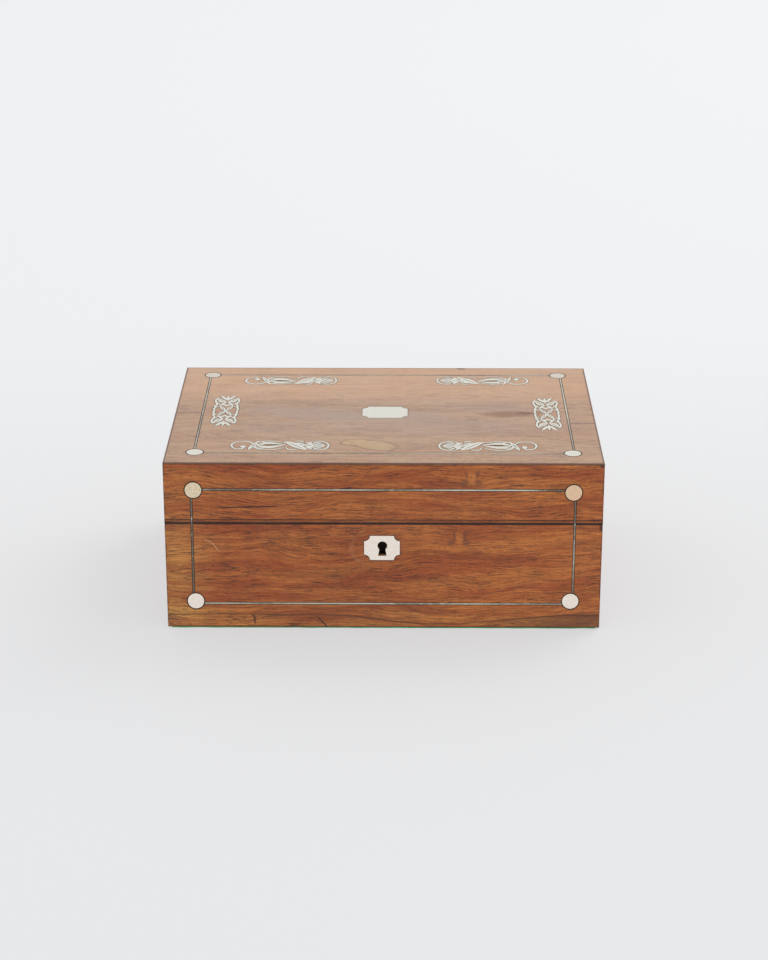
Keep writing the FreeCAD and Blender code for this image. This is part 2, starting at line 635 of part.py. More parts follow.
# ---------------------------------------------------------------- hinges
def hinge(x):
    """One butt hinge: the body's leaf has the two end knuckles, the lid's leaf the middle one."""
    axis = (HINGE_Y, JOINT_Z)
    whole = (x - HINGE_HALF, x + HINGE_HALF)
    middle = (x - HINGE_THIRD / 2, x + HINGE_THIRD / 2)
    own = (middle[0] + 0.1, middle[1] - 0.1)
    leaf_y = (INNER_Y + 0.3, HINGE_Y)

    body = block(whole, leaf_y, (BODY_LEAF_TOP - LEAF, BODY_LEAF_TOP))
    body = body.cut(rod("x", axis, KNUCKLE_R + HINGE_PLAY, middle))
    knuckles = [
        ring("x", axis, KNUCKLE_R, PIN_R, (whole[0], middle[0])),
        ring("x", axis, KNUCKLE_R, PIN_R, (middle[1], whole[1])),
    ]
    body = joined(body, *knuckles).cut(rod("x", axis, PIN_R, whole))

    lid = block(whole, leaf_y, (LID_LEAF_LOW, LID_LEAF_LOW + LEAF))
    rooms = [
        rod("x", axis, KNUCKLE_R + HINGE_PLAY, (whole[0], own[0])),
        rod("x", axis, KNUCKLE_R + HINGE_PLAY, (own[1], whole[1])),
    ]
    knuckle = ring("x", axis, KNUCKLE_R, PIN_R + RUN, own)
    lid = joined(trim(lid, *rooms), knuckle).cut(rod("x", axis, PIN_R + RUN, own))
    return body, lid, rod("x", axis, PIN_R, whole)


def hinges():
    body_screws = [sunk_screw(x, HINGE_SCREW_Y, BODY_LEAF_TOP, -1) for x in HINGE_SCREW_X]
    lid_screws = [sunk_screw(x, HINGE_SCREW_Y, LID_LEAF_LOW, 1) for x in HINGE_SCREW_X]
    sets = [hinge(x) for x in HINGE_X]
    save("hinge_body_leaves", *[trim(body, *body_screws) for body, _, _ in sets])
    save("hinge_lid_leaves", *[trim(lid, *lid_screws) for _, lid, _ in sets])
    save("hinge_pins", *[pin for _, _, pin in sets])

    shown_lid, shown_body = [], []
    for x, lid_screw, body_screw in zip(HINGE_SCREW_X, lid_screws, body_screws):
        shown_lid.append(slotted(lid_screw, x, HINGE_SCREW_Y, LID_LEAF_LOW, 1))
        shown_body.append(slotted(body_screw, x, HINGE_SCREW_Y, BODY_LEAF_TOP, -1))
    save("hinge_lid_screws", *shown_lid)
    for x, y in GLASS_SCREWS:
        screw = sunk_screw(x, y, FRAME_TOP, -1)
        shown_body.append(slotted(screw, x, y, FRAME_TOP, -1))
    save("wood_screws", *shown_body)


# ---------------------------------------------------------------- compartments
def compartments():
    height = (FLOOR_Z, PARTITION_TOP)
    save("partition_front", block((-INNER_X, INNER_X), (WELL_BACK, BAY_FRONT), height))
    arbor_hole = rod("x", (BARREL_Y, BARREL_Z), BARREL_ARBOR_R + 1.0, (-110.0, -90.0))
    slot = block((BAY_X - 1, BAY_X + PARTITION + 1), (20.5, 33.0), (LEVER_Z - 1.0, LEVER_Z + 3.0))
    screws = [sunk_screw(x, y, FRAME_TOP, -1) for x, y in GLASS_SCREWS]
    sides = [
        block((x, x + PARTITION), (BAY_FRONT, INNER_Y), height).cut([arbor_hole, slot] + screws)
        for x in (-BAY_X - PARTITION, BAY_X)
    ]
    save("partition_sides", *sides)

    outer_x, inner_x = BAY_X + PARTITION, GLASS_X - GLASS_REBATE
    inner_y = (GLASS_Y[0] + GLASS_REBATE, GLASS_Y[1] - GLASS_REBATE)
    z = (PARTITION_TOP, FRAME_TOP)
    pane = block((-GLASS_X, GLASS_X), GLASS_Y, (GLASS_LOW, FRAME_TOP))
    strips = [
        block((-outer_x, outer_x), (WELL_BACK, inner_y[0]), z),
        block((-outer_x, outer_x), (inner_y[1], INNER_Y), z),
        block((-outer_x, -inner_x), inner_y, z),
        block((inner_x, outer_x), inner_y, z),
    ]
    save("glass_frame", *[trim(strip, pane, *screws) for strip in strips])
    glass_x = GLASS_X - 0.1
    glass_y = (GLASS_Y[0] + 0.1, GLASS_Y[1] - 0.1)
    save("glass_pane", block((-glass_x, glass_x), glass_y, (GLASS_LOW, FRAME_TOP - 0.3)))
    pad_x, pad_y = INNER_X - 2.0, (2.0 - INNER_Y, WELL_BACK - 2.0)
    save("well_floor_pad", block((-pad_x, pad_x), pad_y, (FLOOR_Z, FLOOR_Z + PAD_THICK)))


# ---------------------------------------------------------------- movement
def cock(x, centre, bore, half_foot):
    """An upright bearing bracket across the arbor, with a foot each side."""
    y, z = centre
    top = z + 6.0
    outline = [(y - 8.0, BED_TOP), (y + 8.0, BED_TOP), (y + 5.5, top - 2.5), (y + 3.0, top)]
    outline += [(y - 3.0, top), (y - 5.5, top - 2.5)]
    foot = block(x, (y - half_foot, y + half_foot), (BED_TOP, FOOT_TOP))
    return joined(prism(outline, "x", x), foot).cut(rod("x", centre, bore, (x[0] - 1, x[1] + 1)))


def bedplate():
    plate = block((-BED_X, BED_X), BED_Y, (BED_TOP - BED_THICK, BED_TOP))
    corners = [edge for edge in plate.Edges if edge.BoundBox.ZLength > 1]
    plate = plate.makeFillet(4.0, corners)
    places = COCK_FEET + COLUMN_SCREWS
    shanks = [rod("z", place, CHEESE_SHANK_R, (BED_TOP - 3.0, BED_TOP + 1)) for place in places]
    bolts = [rod("z", place, BOLT_SHANK_R, (0, BED_TOP)) for place in BED_BOLTS]
    save("bedplate", trim(plate, *shanks, *bolts))
    foot_z = (FLOOR_Z, BED_TOP - BED_THICK)
    feet = [ring("z", place, 6.0, BOLT_SHANK_R, foot_z) for place in BED_BOLTS]
    save("bedplate_feet", *feet)


def comb():
    """The steel comb on its base: one tooth for each note, with leads under the low ones."""
    heel_y = (-12.0, 6.0)
    plate_z = (CYL_Z - 1.1, CYL_Z + 1.1)
    tip_y = CYL_Y - CYL_R - PIN_HEIGHT - TIP_GAP
    pitch = (CYL_X[1] - CYL_X[0]) / TEETH
    outline = [(CYL_X[0], heel_y[1] - 4.0)]
    for tooth in range(TEETH):
        left = CYL_X[0] + pitch * tooth + 0.2
        right = left + pitch - 0.4
        outline += [(left, heel_y[1]), (left, tip_y), (right, tip_y), (right, heel_y[1])]
    outline += [(CYL_X[1], heel_y[1] - 4.0)]
    teeth = prism(outline, "z", (CYL_Z - 0.5, CYL_Z + 0.5))
    heel = block((CYL_X[0] - 2, CYL_X[1] + 2), heel_y, plate_z)
    holes = [rod("z", place, CHEESE_SHANK_R, (CYL_Z - 8, CYL_Z + 2)) for place in COMB_SCREWS]
    save("comb", trim(joined(heel, teeth), *holes))

    base = block((CYL_X[0] - 2, CYL_X[1] + 2), heel_y, (BED_TOP, plate_z[0]))
    recess_y = (heel_y[0] + 11.5, heel_y[1] + 1)
    recess = block((CYL_X[0] + 6, CYL_X[1] - 6), recess_y, (BED_TOP + 5, plate_z[0] - 6))
    save("comb_base", trim(base, recess, *holes))

    leads = []
    for tooth in range(LEADED_TEETH):
        left = CYL_X[0] + pitch * tooth + 0.3
        drop = 3.2 - 0.1 * tooth
        lead_z = (CYL_Z - 0.5 - drop, CYL_Z - 0.5)
        leads.append(block((left, left + pitch - 0.6), (20.0, 28.0), lead_z))
    save("comb_leads", *leads)


def cylinder():
    """The pinned cylinder with its arbor; the left pinion is cut from the arbor."""
    axis = (CYL_Y, CYL_Z)
    shell = ring("x", axis, CYL_R, CYL_R - 1.2, CYL_X)
    caps = [ring("x", axis, CYL_R - 1.2, ARBOR_R, span) for span in ((-47.5, -45.0), (59.0, 61.5))]
    save("cylinder_barrel", joined(shell, *caps))
    pinion = gear(BARREL_PINION, BARREL_MODULE, "x", axis, (-66.5, -61.5), 0, PINION_TURN)
    arbor = joined(rod("x", axis, ARBOR_R, (-70.0, 79.0)), pinion)
    save("cylinder_arbor", arbor)
    wheel = gear(GREAT_TEETH, GREAT_MODULE, "x", axis, (66.0, 69.0), ARBOR_R, GREAT_TURN)
    windows = []
    for spoke in range(5):
        angle = math.radians(72 * spoke + 20)
        windows.append(rod("x", polar(axis, 13.0, angle), 4.6, (65, 70)))
    save("cylinder_great_wheel", trim(wheel, *windows))
    pins = []
    pitch = (CYL_X[1] - CYL_X[0]) / TEETH
    golden = (math.sqrt(5) - 1) / 2
    for tooth in range(TEETH):
        x = CYL_X[0] + pitch * (tooth + 0.5)
        for note in range(PINS_PER_TOOTH):
            angle = 2 * math.pi * ((golden * (PINS_PER_TOOTH * tooth + note)) % 1.0)
            out = FreeCAD.Vector(0, math.cos(angle), math.sin(angle))
            foot = FreeCAD.Vector(x, CYL_Y, CYL_Z) + out * (CYL_R + 0.01)
            pins.append(Part.makeCylinder(MUSIC_PIN_R, PIN_HEIGHT - 0.01, foot, out))
    save("cylinder_pins", *pins)


def spring_barrel():
    """Drum, cover and great wheel turn on the winding arbor; the mainspring is inside."""
    axis = (BARREL_Y, BARREL_Z)
    drum = ring("x", axis, BARREL_R, BARREL_R - 1.5, (-90.0, -66.0))
    cover = ring("x", axis, BARREL_R, BARREL_ARBOR_R + RUN, (-91.6, -90.0))
    save("barrel_drum", joined(drum, cover))
    bore = BARREL_ARBOR_R + RUN
    wheel = gear(BARREL_TEETH, BARREL_MODULE, "x", axis, (-66.0, -62.0), bore, BARREL_TURN)
    save("barrel_great_wheel", wheel)
    inside, outside = spring_side(axis, 0.0), spring_side(axis, SPRING_GAUGE)
    ends = [Part.makeLine(inside.Vertexes[i].Point, outside.Vertexes[i].Point) for i in (0, 1)]
    face = Part.Face(Part.Wire([inside, ends[1], outside, ends[0]]))
    save("mainspring", face.extrude(FreeCAD.Vector(SPRING_X[1] - SPRING_X[0], 0, 0)))


def spring_side(axis, offset):
    """One side of the coiled strip, as a smooth spiral at the strip's left edge."""
    steps = SPRING_TURNS * 16
    points = []
    for step in range(steps + 1):
        radius = SPRING_R[0] + offset + (SPRING_R[1] - SPRING_R[0]) * step / steps
        points.append(FreeCAD.Vector(SPRING_X[0], *polar(axis, radius, 2 * math.pi * step / 16)))
    spline = Part.BSplineCurve()
    spline.interpolate(points)
    return spline.toShape()


def winding():
    """The arbor with its ratchet wheel."""
    axis = (BARREL_Y, BARREL_Z)
    core = rod("x", axis, 4.6, (-89.6, -66.4))
    save("winding_arbor", joined(rod("x", axis, BARREL_ARBOR_R, (-124.0, -53.0)), core))
    outline = []
    step = 2 * math.pi / RATCHET_TEETH
    for tooth in range(RATCHET_TEETH):
        outline.append(polar(axis, RATCHET_TIP_R, step * tooth))
        outline.append(polar(axis, RATCHET_ROOT_R, step * (tooth + 0.12)))
    wheel = prism(outline, "x", RATCHET_X)
    save("ratchet_wheel", wheel.cut(rod("x", axis, BARREL_ARBOR_R, RATCHET_X)))


def winding_key():
    """A hub on the arbor's end with two rounded wings."""
    axis = (BARREL_Y, BARREL_Z)
    half = 1.3
    flat = (axis[0] - half, axis[0] + half)
    hub = rod("x", axis, 5.0, (-126.0, -109.0))
    wings = []
    for side in (-1, 1):
        lobe = rod("y", (-128.0, axis[1] + side * 9.5), 7.5, flat)
        eye = rod("y", (-128.0, axis[1] + side * 10.5), 2.6, flat)
        wings.append(lobe.cut(eye))
    neck = block((-134.0, -120.0), flat, (axis[1] - 5.0, axis[1] + 5.0))
    bore = rod("x", axis, BARREL_ARBOR_R, (-124.0, -108.0))
    save("winding_key", joined(hub, neck, *wings).cut(bore))


def click_work():
    """The click on its post, its spring, and the plate that carries both."""
    axis = (BARREL_Y, BARREL_Z)
    post = (axis[0] + CLICK_POST[0], axis[1] + CLICK_POST[1])
    plate_z = (axis[1] - 14.0, axis[1] + 18.0)
    plate = block((-105.2, -104.0), (axis[0] - 14.0, axis[0] + 26.0), plate_z)
    plate = plate.cut(rod("x", axis, BARREL_ARBOR_R + 1.0, (-106, -103)))
    save("winding_plate", joined(plate, rod("x", post, CLICK_POST_R, (-109.0, -105.2))))

    nose = polar(axis, RATCHET_TIP_R + 0.25, 0.55)
    body = [(post[0] - 1.0, post[1] + 3.2), (post[0] - 1.6, post[1] - 3.2)]
    body += [nose, (nose[0] - 1.6, nose[1] + 3.6)]
    arm = joined(prism(body, "x", CLICK_X), rod("x", post, 3.4, CLICK_X))
    pivot = rod("x", post, CLICK_POST_R + RUN, (-110, -105))
    clear = rod("x", axis, RATCHET_TIP_R + 0.2, (-110, -105))
    save("click", trim(arm, pivot, clear))

    bar_y = (post[0] - 12.0, post[0] + 1.0)
    bar = block((-107.4, -105.9), bar_y, (post[1] + 4.4, post[1] + 5.0))
    foot = block((-107.4, -105.2), (bar_y[0] - 2.0, bar_y[0]), (post[1] + 3.0, post[1] + 6.4))
    save("click_spring", joined(bar, foot))


def governor():
    """Two uprights carry the first arbor; its wheel drives the upright worm with the fly."""
    axis = (TRAIN_Y, TRAIN_Z)
    base = block((71.0, 86.0), (4.0, 35.0), (BED_TOP, FOOT_TOP))
    uprights = [block(x, (22.0, 34.0), (BED_TOP, 41.5)) for x in ((72.2, 74.2), (82.0, 84.0))]
    bottom = rod("z", (WORM_X, WORM_Y), 0.8 + RUN, (FOOT_TOP - 1.6, FOOT_TOP + 1))
    bore = rod("x", axis, 1.2 + RUN, (70, 90))
    places = COCK_FEET + COLUMN_SCREWS
    shanks = [rod("z", place, CHEESE_SHANK_R, (BED_TOP - 1, FOOT_TOP + 1)) for place in places]
    save("governor_frame", trim(joined(base, *uprights), bottom, bore, *shanks))

    first = gear(FIRST_PINION, GREAT_MODULE, "x", axis, (65.0, 70.5), 0, FIRST_TURN)
    arbor = joined(rod("x", axis, 1.2, (64.0, 85.0)), first)
    wheel = gear(WORM_TEETH, WORM_MODULE, "x", axis, (WORM_X - 1.0, WORM_X + 1.0), 1.2, math.pi)
    save("governor_wheel", arbor, wheel)

    spindle = joined(
        rod("z", (WORM_X, WORM_Y), 0.8, (FOOT_TOP - 1.4, 59.0)),
        rod("z", (WORM_X, WORM_Y), WORM_R - 0.6, (30.0, 44.0)),
        rod("z", (WORM_X, WORM_Y), 2.5, (LEVER_Z - 0.2, LEVER_Z + 2.2)),
    )
    save("worm_spindle", joined(spindle, worm_thread()))
    blades = []
    for side in (-1, 1):
        low, high = sorted((side * 1.2, side * FLY_R))
        blades.append(block((WORM_X + low, WORM_X + high), (WORM_Y - 0.2, WORM_Y + 0.2), FLY_Z))
    collar = rod("z", (WORM_X, WORM_Y), 1.6, FLY_Z)
    save("fly", joined(collar, *blades).cut(rod("z", (WORM_X, WORM_Y), 0.8, (45, 55))))


def worm_thread():
    """One right-handed start, four turns each side of the wheel's height."""
    pitch = math.pi * WORM_MODULE
    turns = 6
    low = TRAIN_Z - pitch * turns / 2
    helix = Part.makeHelix(pitch, pitch * turns, WORM_R - 0.55)
    inner, outer = WORM_R - 0.65, WORM_R + 0.3
    points = [(inner, -0.42), (outer, -0.16), (outer, 0.16), (inner, 0.42)]
    corners = [FreeCAD.Vector(radius, 0, height) for radius, height in points]
    profile = Part.makePolygon(corners + corners[:1])
    thread = Part.Wire(helix).makePipeShell([profile], True, True)
    thread.rotate(FreeCAD.Vector(0, 0, 0), FreeCAD.Vector(0, 0, 1), WORM_START)
    thread.translate(FreeCAD.Vector(WORM_X, WORM_Y, low))
    return thread


def stop_lever():
    """A flat lever on a post; its inner end brakes the fly's spindle."""
    y = WORM_Y + 2.5 + TIP_GAP
    pivot = (LEVER_X, y + 2.0)
    z = (LEVER_Z, LEVER_Z + 2.0)
    bar = block((WORM_X - 2.0, 133.0), (y, y + 4.0), z)
    hub = rod("z", pivot, 4.5, z)
    lever = joined(bar, hub).cut(rod("z", pivot, 1.5 + RUN, (z[0] - 1, z[1] + 1)))
    stem = rod("z", (KNOB_X, pivot[1]), 1.2, (z[1], z[1] + 4.0))
    ball = Part.makeSphere(3.6, FreeCAD.Vector(KNOB_X, pivot[1], z[1] + 6.8))
    about = FreeCAD.Vector(pivot[0], pivot[1], 0)
    up = FreeCAD.Vector(0, 0, 1)
    save("stop_lever", *[shape.rotate(about, up, -LEVER_DEG) for shape in (lever, joined(stem, ball))])
    pillar = joined(
        rod("z", pivot, 7.0, (FLOOR_Z, FLOOR_Z + 3.0)),
        rod("z", pivot, 4.0, (FLOOR_Z, z[0] - 0.1)),
        rod("z", pivot, 1.5, (z[0] - 0.1, z[1] + 0.1)),
        rod("z", pivot, 3.0, (z[1] + 0.1, z[1] + 1.6)),
    )
    save("stop_lever_post", pillar)


def governor_cock():
    """The tall bracket whose arm holds the top pivot of the fly's spindle."""
    foot = block((71.0, 83.0), (4.0, 12.6), (FOOT_TOP, FOOT_TOP + COLUMN_FOOT))
    upright = block((75.0, 79.0), (9.8, 12.6), (FOOT_TOP, 60.0))
    arm = block((75.0, 79.0), (9.8, WORM_Y + 3.5), (57.5, 60.0))
    bore = rod("z", (WORM_X, WORM_Y), 0.8 + RUN, (57.0, 59.2))
    shanks = [rod("z", place, CHEESE_SHANK_R, (FOOT_TOP - 1, FOOT_TOP + 3)) for place in COLUMN_SCREWS]
    return trim(joined(foot, upright, arm), bore, *shanks)


def cocks():
    cylinder_axis = (CYL_Y, CYL_Z)
    barrel_axis = (BARREL_Y, BARREL_Z)
    shanks = [rod("z", place, CHEESE_SHANK_R, (BED_TOP - 1, FOOT_TOP + 1)) for place in COCK_FEET]
    pieces = [
        cock((-56.0, -51.0), cylinder_axis, ARBOR_R + RUN, 15.0),
        cock((72.0, 77.0), cylinder_axis, ARBOR_R + RUN, 12.6),
        cock((-96.0, -92.4), barrel_axis, BARREL_ARBOR_R + RUN, 14.5),
        cock((-58.0, -54.4), barrel_axis, BARREL_ARBOR_R + RUN, 13.0),
    ]
    save("bearing_cocks", *[trim(piece, *shanks) for piece in pieces], governor_cock())


def bed_bolt(place):
    """A long slotted bolt that holds the bedplate and its foot down to the case."""
    head = rod("z", place, BOLT_HEAD_R, (BED_TOP, BED_TOP + 2.4))
    shank = rod("z", place, BOLT_SHANK_R, (BAIZE, BED_TOP))
    slot_z = (BED_TOP + 1.4, BED_TOP + 3.0)
    slot = block((place[0] - 5, place[0] + 5), (place[1] - 0.5, place[1] + 0.5), slot_z)
    return joined(head, shank).cut(slot)


def movement_screws():
    screws = [bed_bolt(place) for place in BED_BOLTS]
    screws += [cheese_screw(x, y, CYL_Z + 1.1) for x, y in COMB_SCREWS]
    screws += [cheese_screw(x, y, FOOT_TOP, FOOT_TOP - BED_TOP + 2.5) for x, y in COCK_FEET]
    seat = FOOT_TOP + COLUMN_FOOT
    screws += [cheese_screw(x, y, seat, seat - BED_TOP + 2.5) for x, y in COLUMN_SCREWS]
    save("movement_screws", *screws)


os.makedirs("parts", exist_ok=True)
case_body()
lock()
case_lid()
lid_lining()
hinges()
compartments()
bedplate()
comb()
cylinder()
spring_barrel()
winding()
winding_key()
click_work()
governor()
stop_lever()
cocks()
movement_screws()
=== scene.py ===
# %% [markdown]
# # An inlaid rosewood musical box
# The case is a pine carcass covered with thin rosewood sheets. Discs, a keyhole plate and
# leafy scrolls of pearl shell are let into the rosewood, with fine white-metal lines between.
# All hard parts come from the engineering model. This lesson gives them their finishes and
# adds what such a model leaves out: shell scrolls, dark filler, cloth and velvet.

# %% Load the frame
import math

import bmesh
import bpy
from mathutils import Matrix, Vector, noise


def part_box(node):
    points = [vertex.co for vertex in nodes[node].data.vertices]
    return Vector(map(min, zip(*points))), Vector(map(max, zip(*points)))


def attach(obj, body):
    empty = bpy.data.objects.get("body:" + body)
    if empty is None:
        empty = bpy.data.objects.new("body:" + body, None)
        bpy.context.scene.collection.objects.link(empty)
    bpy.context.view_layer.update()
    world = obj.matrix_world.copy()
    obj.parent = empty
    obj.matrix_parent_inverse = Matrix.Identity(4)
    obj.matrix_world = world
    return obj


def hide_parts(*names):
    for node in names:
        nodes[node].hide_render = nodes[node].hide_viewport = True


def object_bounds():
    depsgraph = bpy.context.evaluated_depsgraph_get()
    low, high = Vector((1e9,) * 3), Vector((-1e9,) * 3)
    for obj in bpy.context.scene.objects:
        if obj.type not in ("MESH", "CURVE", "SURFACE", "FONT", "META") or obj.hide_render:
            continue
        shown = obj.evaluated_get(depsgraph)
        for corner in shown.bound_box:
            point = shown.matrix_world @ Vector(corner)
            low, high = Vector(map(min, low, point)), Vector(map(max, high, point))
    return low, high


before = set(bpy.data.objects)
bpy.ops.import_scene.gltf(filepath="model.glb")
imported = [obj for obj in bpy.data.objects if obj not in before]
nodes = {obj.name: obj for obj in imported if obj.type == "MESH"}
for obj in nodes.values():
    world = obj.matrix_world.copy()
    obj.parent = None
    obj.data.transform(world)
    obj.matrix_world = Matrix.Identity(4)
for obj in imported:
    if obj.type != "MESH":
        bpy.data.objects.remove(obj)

MM = 0.001
cad_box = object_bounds()
top_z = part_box("lid_top_veneer")[1][2]
print("frame loaded:", len(nodes), "nodes, top of the wood at", round(top_z / MM, 2), "mm")

# %% [markdown]
# ## A pen for shader nodes
# A material is a little machine made of nodes. Placing each node by hand takes many lines,
# so these helpers put one node down, wire or set its inputs, and hand back its output.

# %% Helpers that place shader nodes
def place(tree, kind, inputs=None, **settings):
    """Add a node; an input is either another node's socket or a plain value."""
    node = tree.nodes.new(kind)
    for name, value in settings.items():
        setattr(node, name, value)
    for key, value in (inputs or {}).items():
        if isinstance(value, bpy.types.NodeSocket):
            tree.links.new(value, node.inputs[key])
        else:
            node.inputs[key].default_value = value
    return node


def calc(tree, operation, a, b=0.0, clamp=False):
    """One sum of two values."""
    return place(tree, "ShaderNodeMath", {0: a, 1: b}, operation=operation, use_clamp=clamp).outputs[0]


def times(tree, a, b):
    """The product of two values, which is the commonest sum of all."""
    return calc(tree, "MULTIPLY", a, b)


def strongest(tree, masks):
    """The highest of several masks at each point."""
    whole = masks[0]
    for mask in masks[1:]:
        whole = calc(tree, "MAXIMUM", whole, mask)
    return whole


def blend(tree, factor, a, b, mode="MIX"):
    """Colour a where the factor is 0, colour b (or a product with it) where it is 1."""
    wires = {0: factor, 6: a, 7: b}
    return place(tree, "ShaderNodeMix", wires, data_type="RGBA", blend_type=mode).outputs[2]


def grade(tree, value, low, high, start=0.0, end=1.0):
    """Stretch the part of value between low and high to start..end, smoothly."""
    wires = {"Value": value, "From Min": low, "From Max": high, "To Min": start, "To Max": end}
    return place(tree, "ShaderNodeMapRange", wires, interpolation_type="SMOOTHSTEP").outputs[0]


print("node helpers ready")

# %% [markdown]
# ## Clouds and coordinates
# Almost every natural surface starts as a cloud of noise. What makes it wood, horn or cloth is how
# its coordinates were stretched, shifted or swapped beforehand, so these helpers come as a family.


# %% Helpers for clouds and coordinates
def cloud(tree, vector, scale=1.0, detail=3.0, rough=0.5, twist=0.0):
    """Soft noise between 0 and 1; more detail and roughness make it grittier."""
    wires = {"Vector": vector, "Scale": scale, "Detail": detail, "Roughness": rough, "Distortion": twist}
    return place(tree, "ShaderNodeTexNoise", wires).outputs[0]


def stretch(tree, vector, scale, shift=(0.0, 0.0, 0.0)):
    """Scale a vector on each axis, then shift it."""
    scaled = place(tree, "ShaderNodeVectorMath", {0: vector, 1: scale}, operation="MULTIPLY").outputs[0]
    return place(tree, "ShaderNodeVectorMath", {0: scaled, 1: shift}, operation="ADD").outputs[0]


def split(tree, vector):
    """The three parts of a vector."""
    parts = place(tree, "ShaderNodeSeparateXYZ", {0: vector})
    return parts.outputs[0], parts.outputs[1], parts.outputs[2]


def join(tree, x, y, z):
    """Three values as one vector."""
    return place(tree, "ShaderNodeCombineXYZ", {0: x, 1: y, 2: z}).outputs[0]


def own_place(tree):
    """Where a point lies on its own piece, in metres, wherever the piece is carried."""
    return place(tree, "ShaderNodeTexCoord").outputs["Object"]


print("cloud and coordinate helpers ready")

# %% [markdown]
# ## Groups and materials
# A node group is a little machine that several materials can share. It shows named inputs and
# outputs, like a drawer front with knobs. A material keeps its own Principled shader; values that
# are the same all over a surface sit on that shader's sockets, and only what varies is wired in.

# %% Helpers for groups and materials
def socket_kind(value):
    """Four numbers are a colour, three are a vector, and a single one is a plain value."""
    if not hasattr(value, "__len__"):
        return "NodeSocketFloat"
    return "NodeSocketColor" if len(value) == 4 else "NodeSocketVector"


def new_group(name, inputs, outputs):
    """A shader node group; inputs map a name to its value, outputs a name to its kind."""
    tree = bpy.data.node_groups.new(name, "ShaderNodeTree")
    for label, value in inputs.items():
        socket = tree.interface.new_socket(label, in_out="INPUT", socket_type=socket_kind(value))
        socket.default_value = value
    for label, kind in outputs.items():
        tree.interface.new_socket(label, in_out="OUTPUT", socket_type="NodeSocket" + kind)
    return tree, tree.nodes.new("NodeGroupInput").outputs, tree.nodes.new("NodeGroupOutput").inputs


def give(tree, out, results):
    """Wire a group's results to its named outputs."""
    for label, socket in results.items():
        tree.links.new(socket, out[label])


def use_group(tree, group, inputs=None):
    """Put a group into a material or another group, with values of its own."""
    return place(tree, "ShaderNodeGroup", inputs, node_tree=group).outputs


def new_material(name, **constants):
    """A material with one Principled shader; the constants sit on its own sockets."""
    material = bpy.data.materials.new(name)
    material.use_nodes = True
    shader = material.node_tree.nodes["Principled BSDF"]
    for key, value in constants.items():
        shader.inputs[key.replace("_", " ")].default_value = value
    return material, material.node_tree, shader


def wire(tree, shader, **sockets):
    """Wire what varies over the surface to the shader."""
    for key, socket in sockets.items():
        tree.links.new(socket, shader.inputs[key.replace("_", " ")])


def relief(tree, height, depth, strength=1.0):
    """A Bump node whose depth is in metres."""
    wires = {"Height": height, "Distance": depth, "Strength": strength}
    return place(tree, "ShaderNodeBump", wires).outputs[0]


print("group and material helpers ready")

# %% [markdown]
# ## Grain that follows each board
# A veneer is one thin slice of a log, so its figure runs along the sheet. A solid texture in
# object space would show end grain on the short sides. This group looks at which way the
# surface faces and turns the grain to run level round the case and along the lid's top.

# %% Group: the sheet's own coordinates, in millimetres
FACE_WEIGHTS = (3.1, 7.3, 13.7)
FACE_SPACING = 11.0
STEEP = 0.6


def build_grain_space():
    """Along the sheet, across it, and a number that tells the six faces apart."""
    tree, _, out = new_group("sheet_coordinates", {}, {"Vector": "Vector"})
    coords = place(tree, "ShaderNodeTexCoord")
    x, y, z = split(tree, stretch(tree, coords.outputs["Object"], (1 / MM, 1 / MM, 1 / MM)))
    normal = coords.outputs["Normal"]
    facing = place(tree, "ShaderNodeVectorMath", {0: normal}, operation="ABSOLUTE").outputs[0]
    nx, _, nz = split(tree, facing)
    end_face = calc(tree, "GREATER_THAN", nx, STEEP)
    level = calc(tree, "GREATER_THAN", nz, STEEP)
    along = place(tree, "ShaderNodeMix", {0: end_face, 2: x, 3: y}).outputs[0]
    across = place(tree, "ShaderNodeMix", {0: level, 2: z, 3: y}).outputs[0]
    weighed = {0: normal, 1: FACE_WEIGHTS}
    whose = place(tree, "ShaderNodeVectorMath", weighed, operation="DOT_PRODUCT").outputs[1]
    face = times(tree, calc(tree, "ROUND", whose), FACE_SPACING)
    give(tree, out, {"Vector": join(tree, along, across, face)})
    return tree


grain_space = build_grain_space()
FRONT_FACE = -round(FACE_WEIGHTS[1]) * FACE_SPACING
print("group", grain_space.name, "- the front sheet's number is", FRONT_FACE)

# %% [markdown]
# ## Knots
# Where a branch left the log the grain flows round it, as water does round a stone. The group
# squeezes the across-grain coordinate near the knot, so every layer that reads it parts there.

# %% Group: a knot that bends the grain
SAME_FACE = 5.0
PARTING = 0.8


def build_knot():
    """Squeeze the across-grain coordinate near one place on one face."""
    inputs = {
        "Vector": (0.0, 0.0, 0.0), "Along": 0.0, "Across": 0.0, "Face": 0.0, "Length": 14.0, "Height": 8.0,
    }
    tree, given, out = new_group("knot", inputs, {"Vector": "Vector"})
    along, across, face = split(tree, given["Vector"])
    above = calc(tree, "SUBTRACT", across, given["Across"])
    u = calc(tree, "DIVIDE", calc(tree, "SUBTRACT", along, given["Along"]), given["Length"])
    v = calc(tree, "DIVIDE", above, given["Height"])
    radius = calc(tree, "SQRT", calc(tree, "ADD", times(tree, u, u), times(tree, v, v)))
    which = {0: face, 1: given["Face"], 2: SAME_FACE}
    same_face = place(tree, "ShaderNodeMath", which, operation="COMPARE").outputs[0]
    near = times(tree, grade(tree, radius, 1.0, 0.1), same_face)
    squeeze = calc(tree, "SUBTRACT", 1.0, times(tree, near, PARTING))
    squeezed = calc(tree, "ADD", given["Across"], times(tree, above, squeeze))
    give(tree, out, {"Vector": join(tree, along, squeezed, face)})
    return tree


knot_group = build_knot()
print("group", knot_group.name)

# %% [markdown]
# ## Rosewood figure
# Rosewood shows three scales at once: wide tone drifts between orange and plum, fine lines a
# millimetre or two apart, and short near-black streaks. Each layer here is a noise stretched
# along the grain. One warp bends them all together, which is what ties them into one timber.

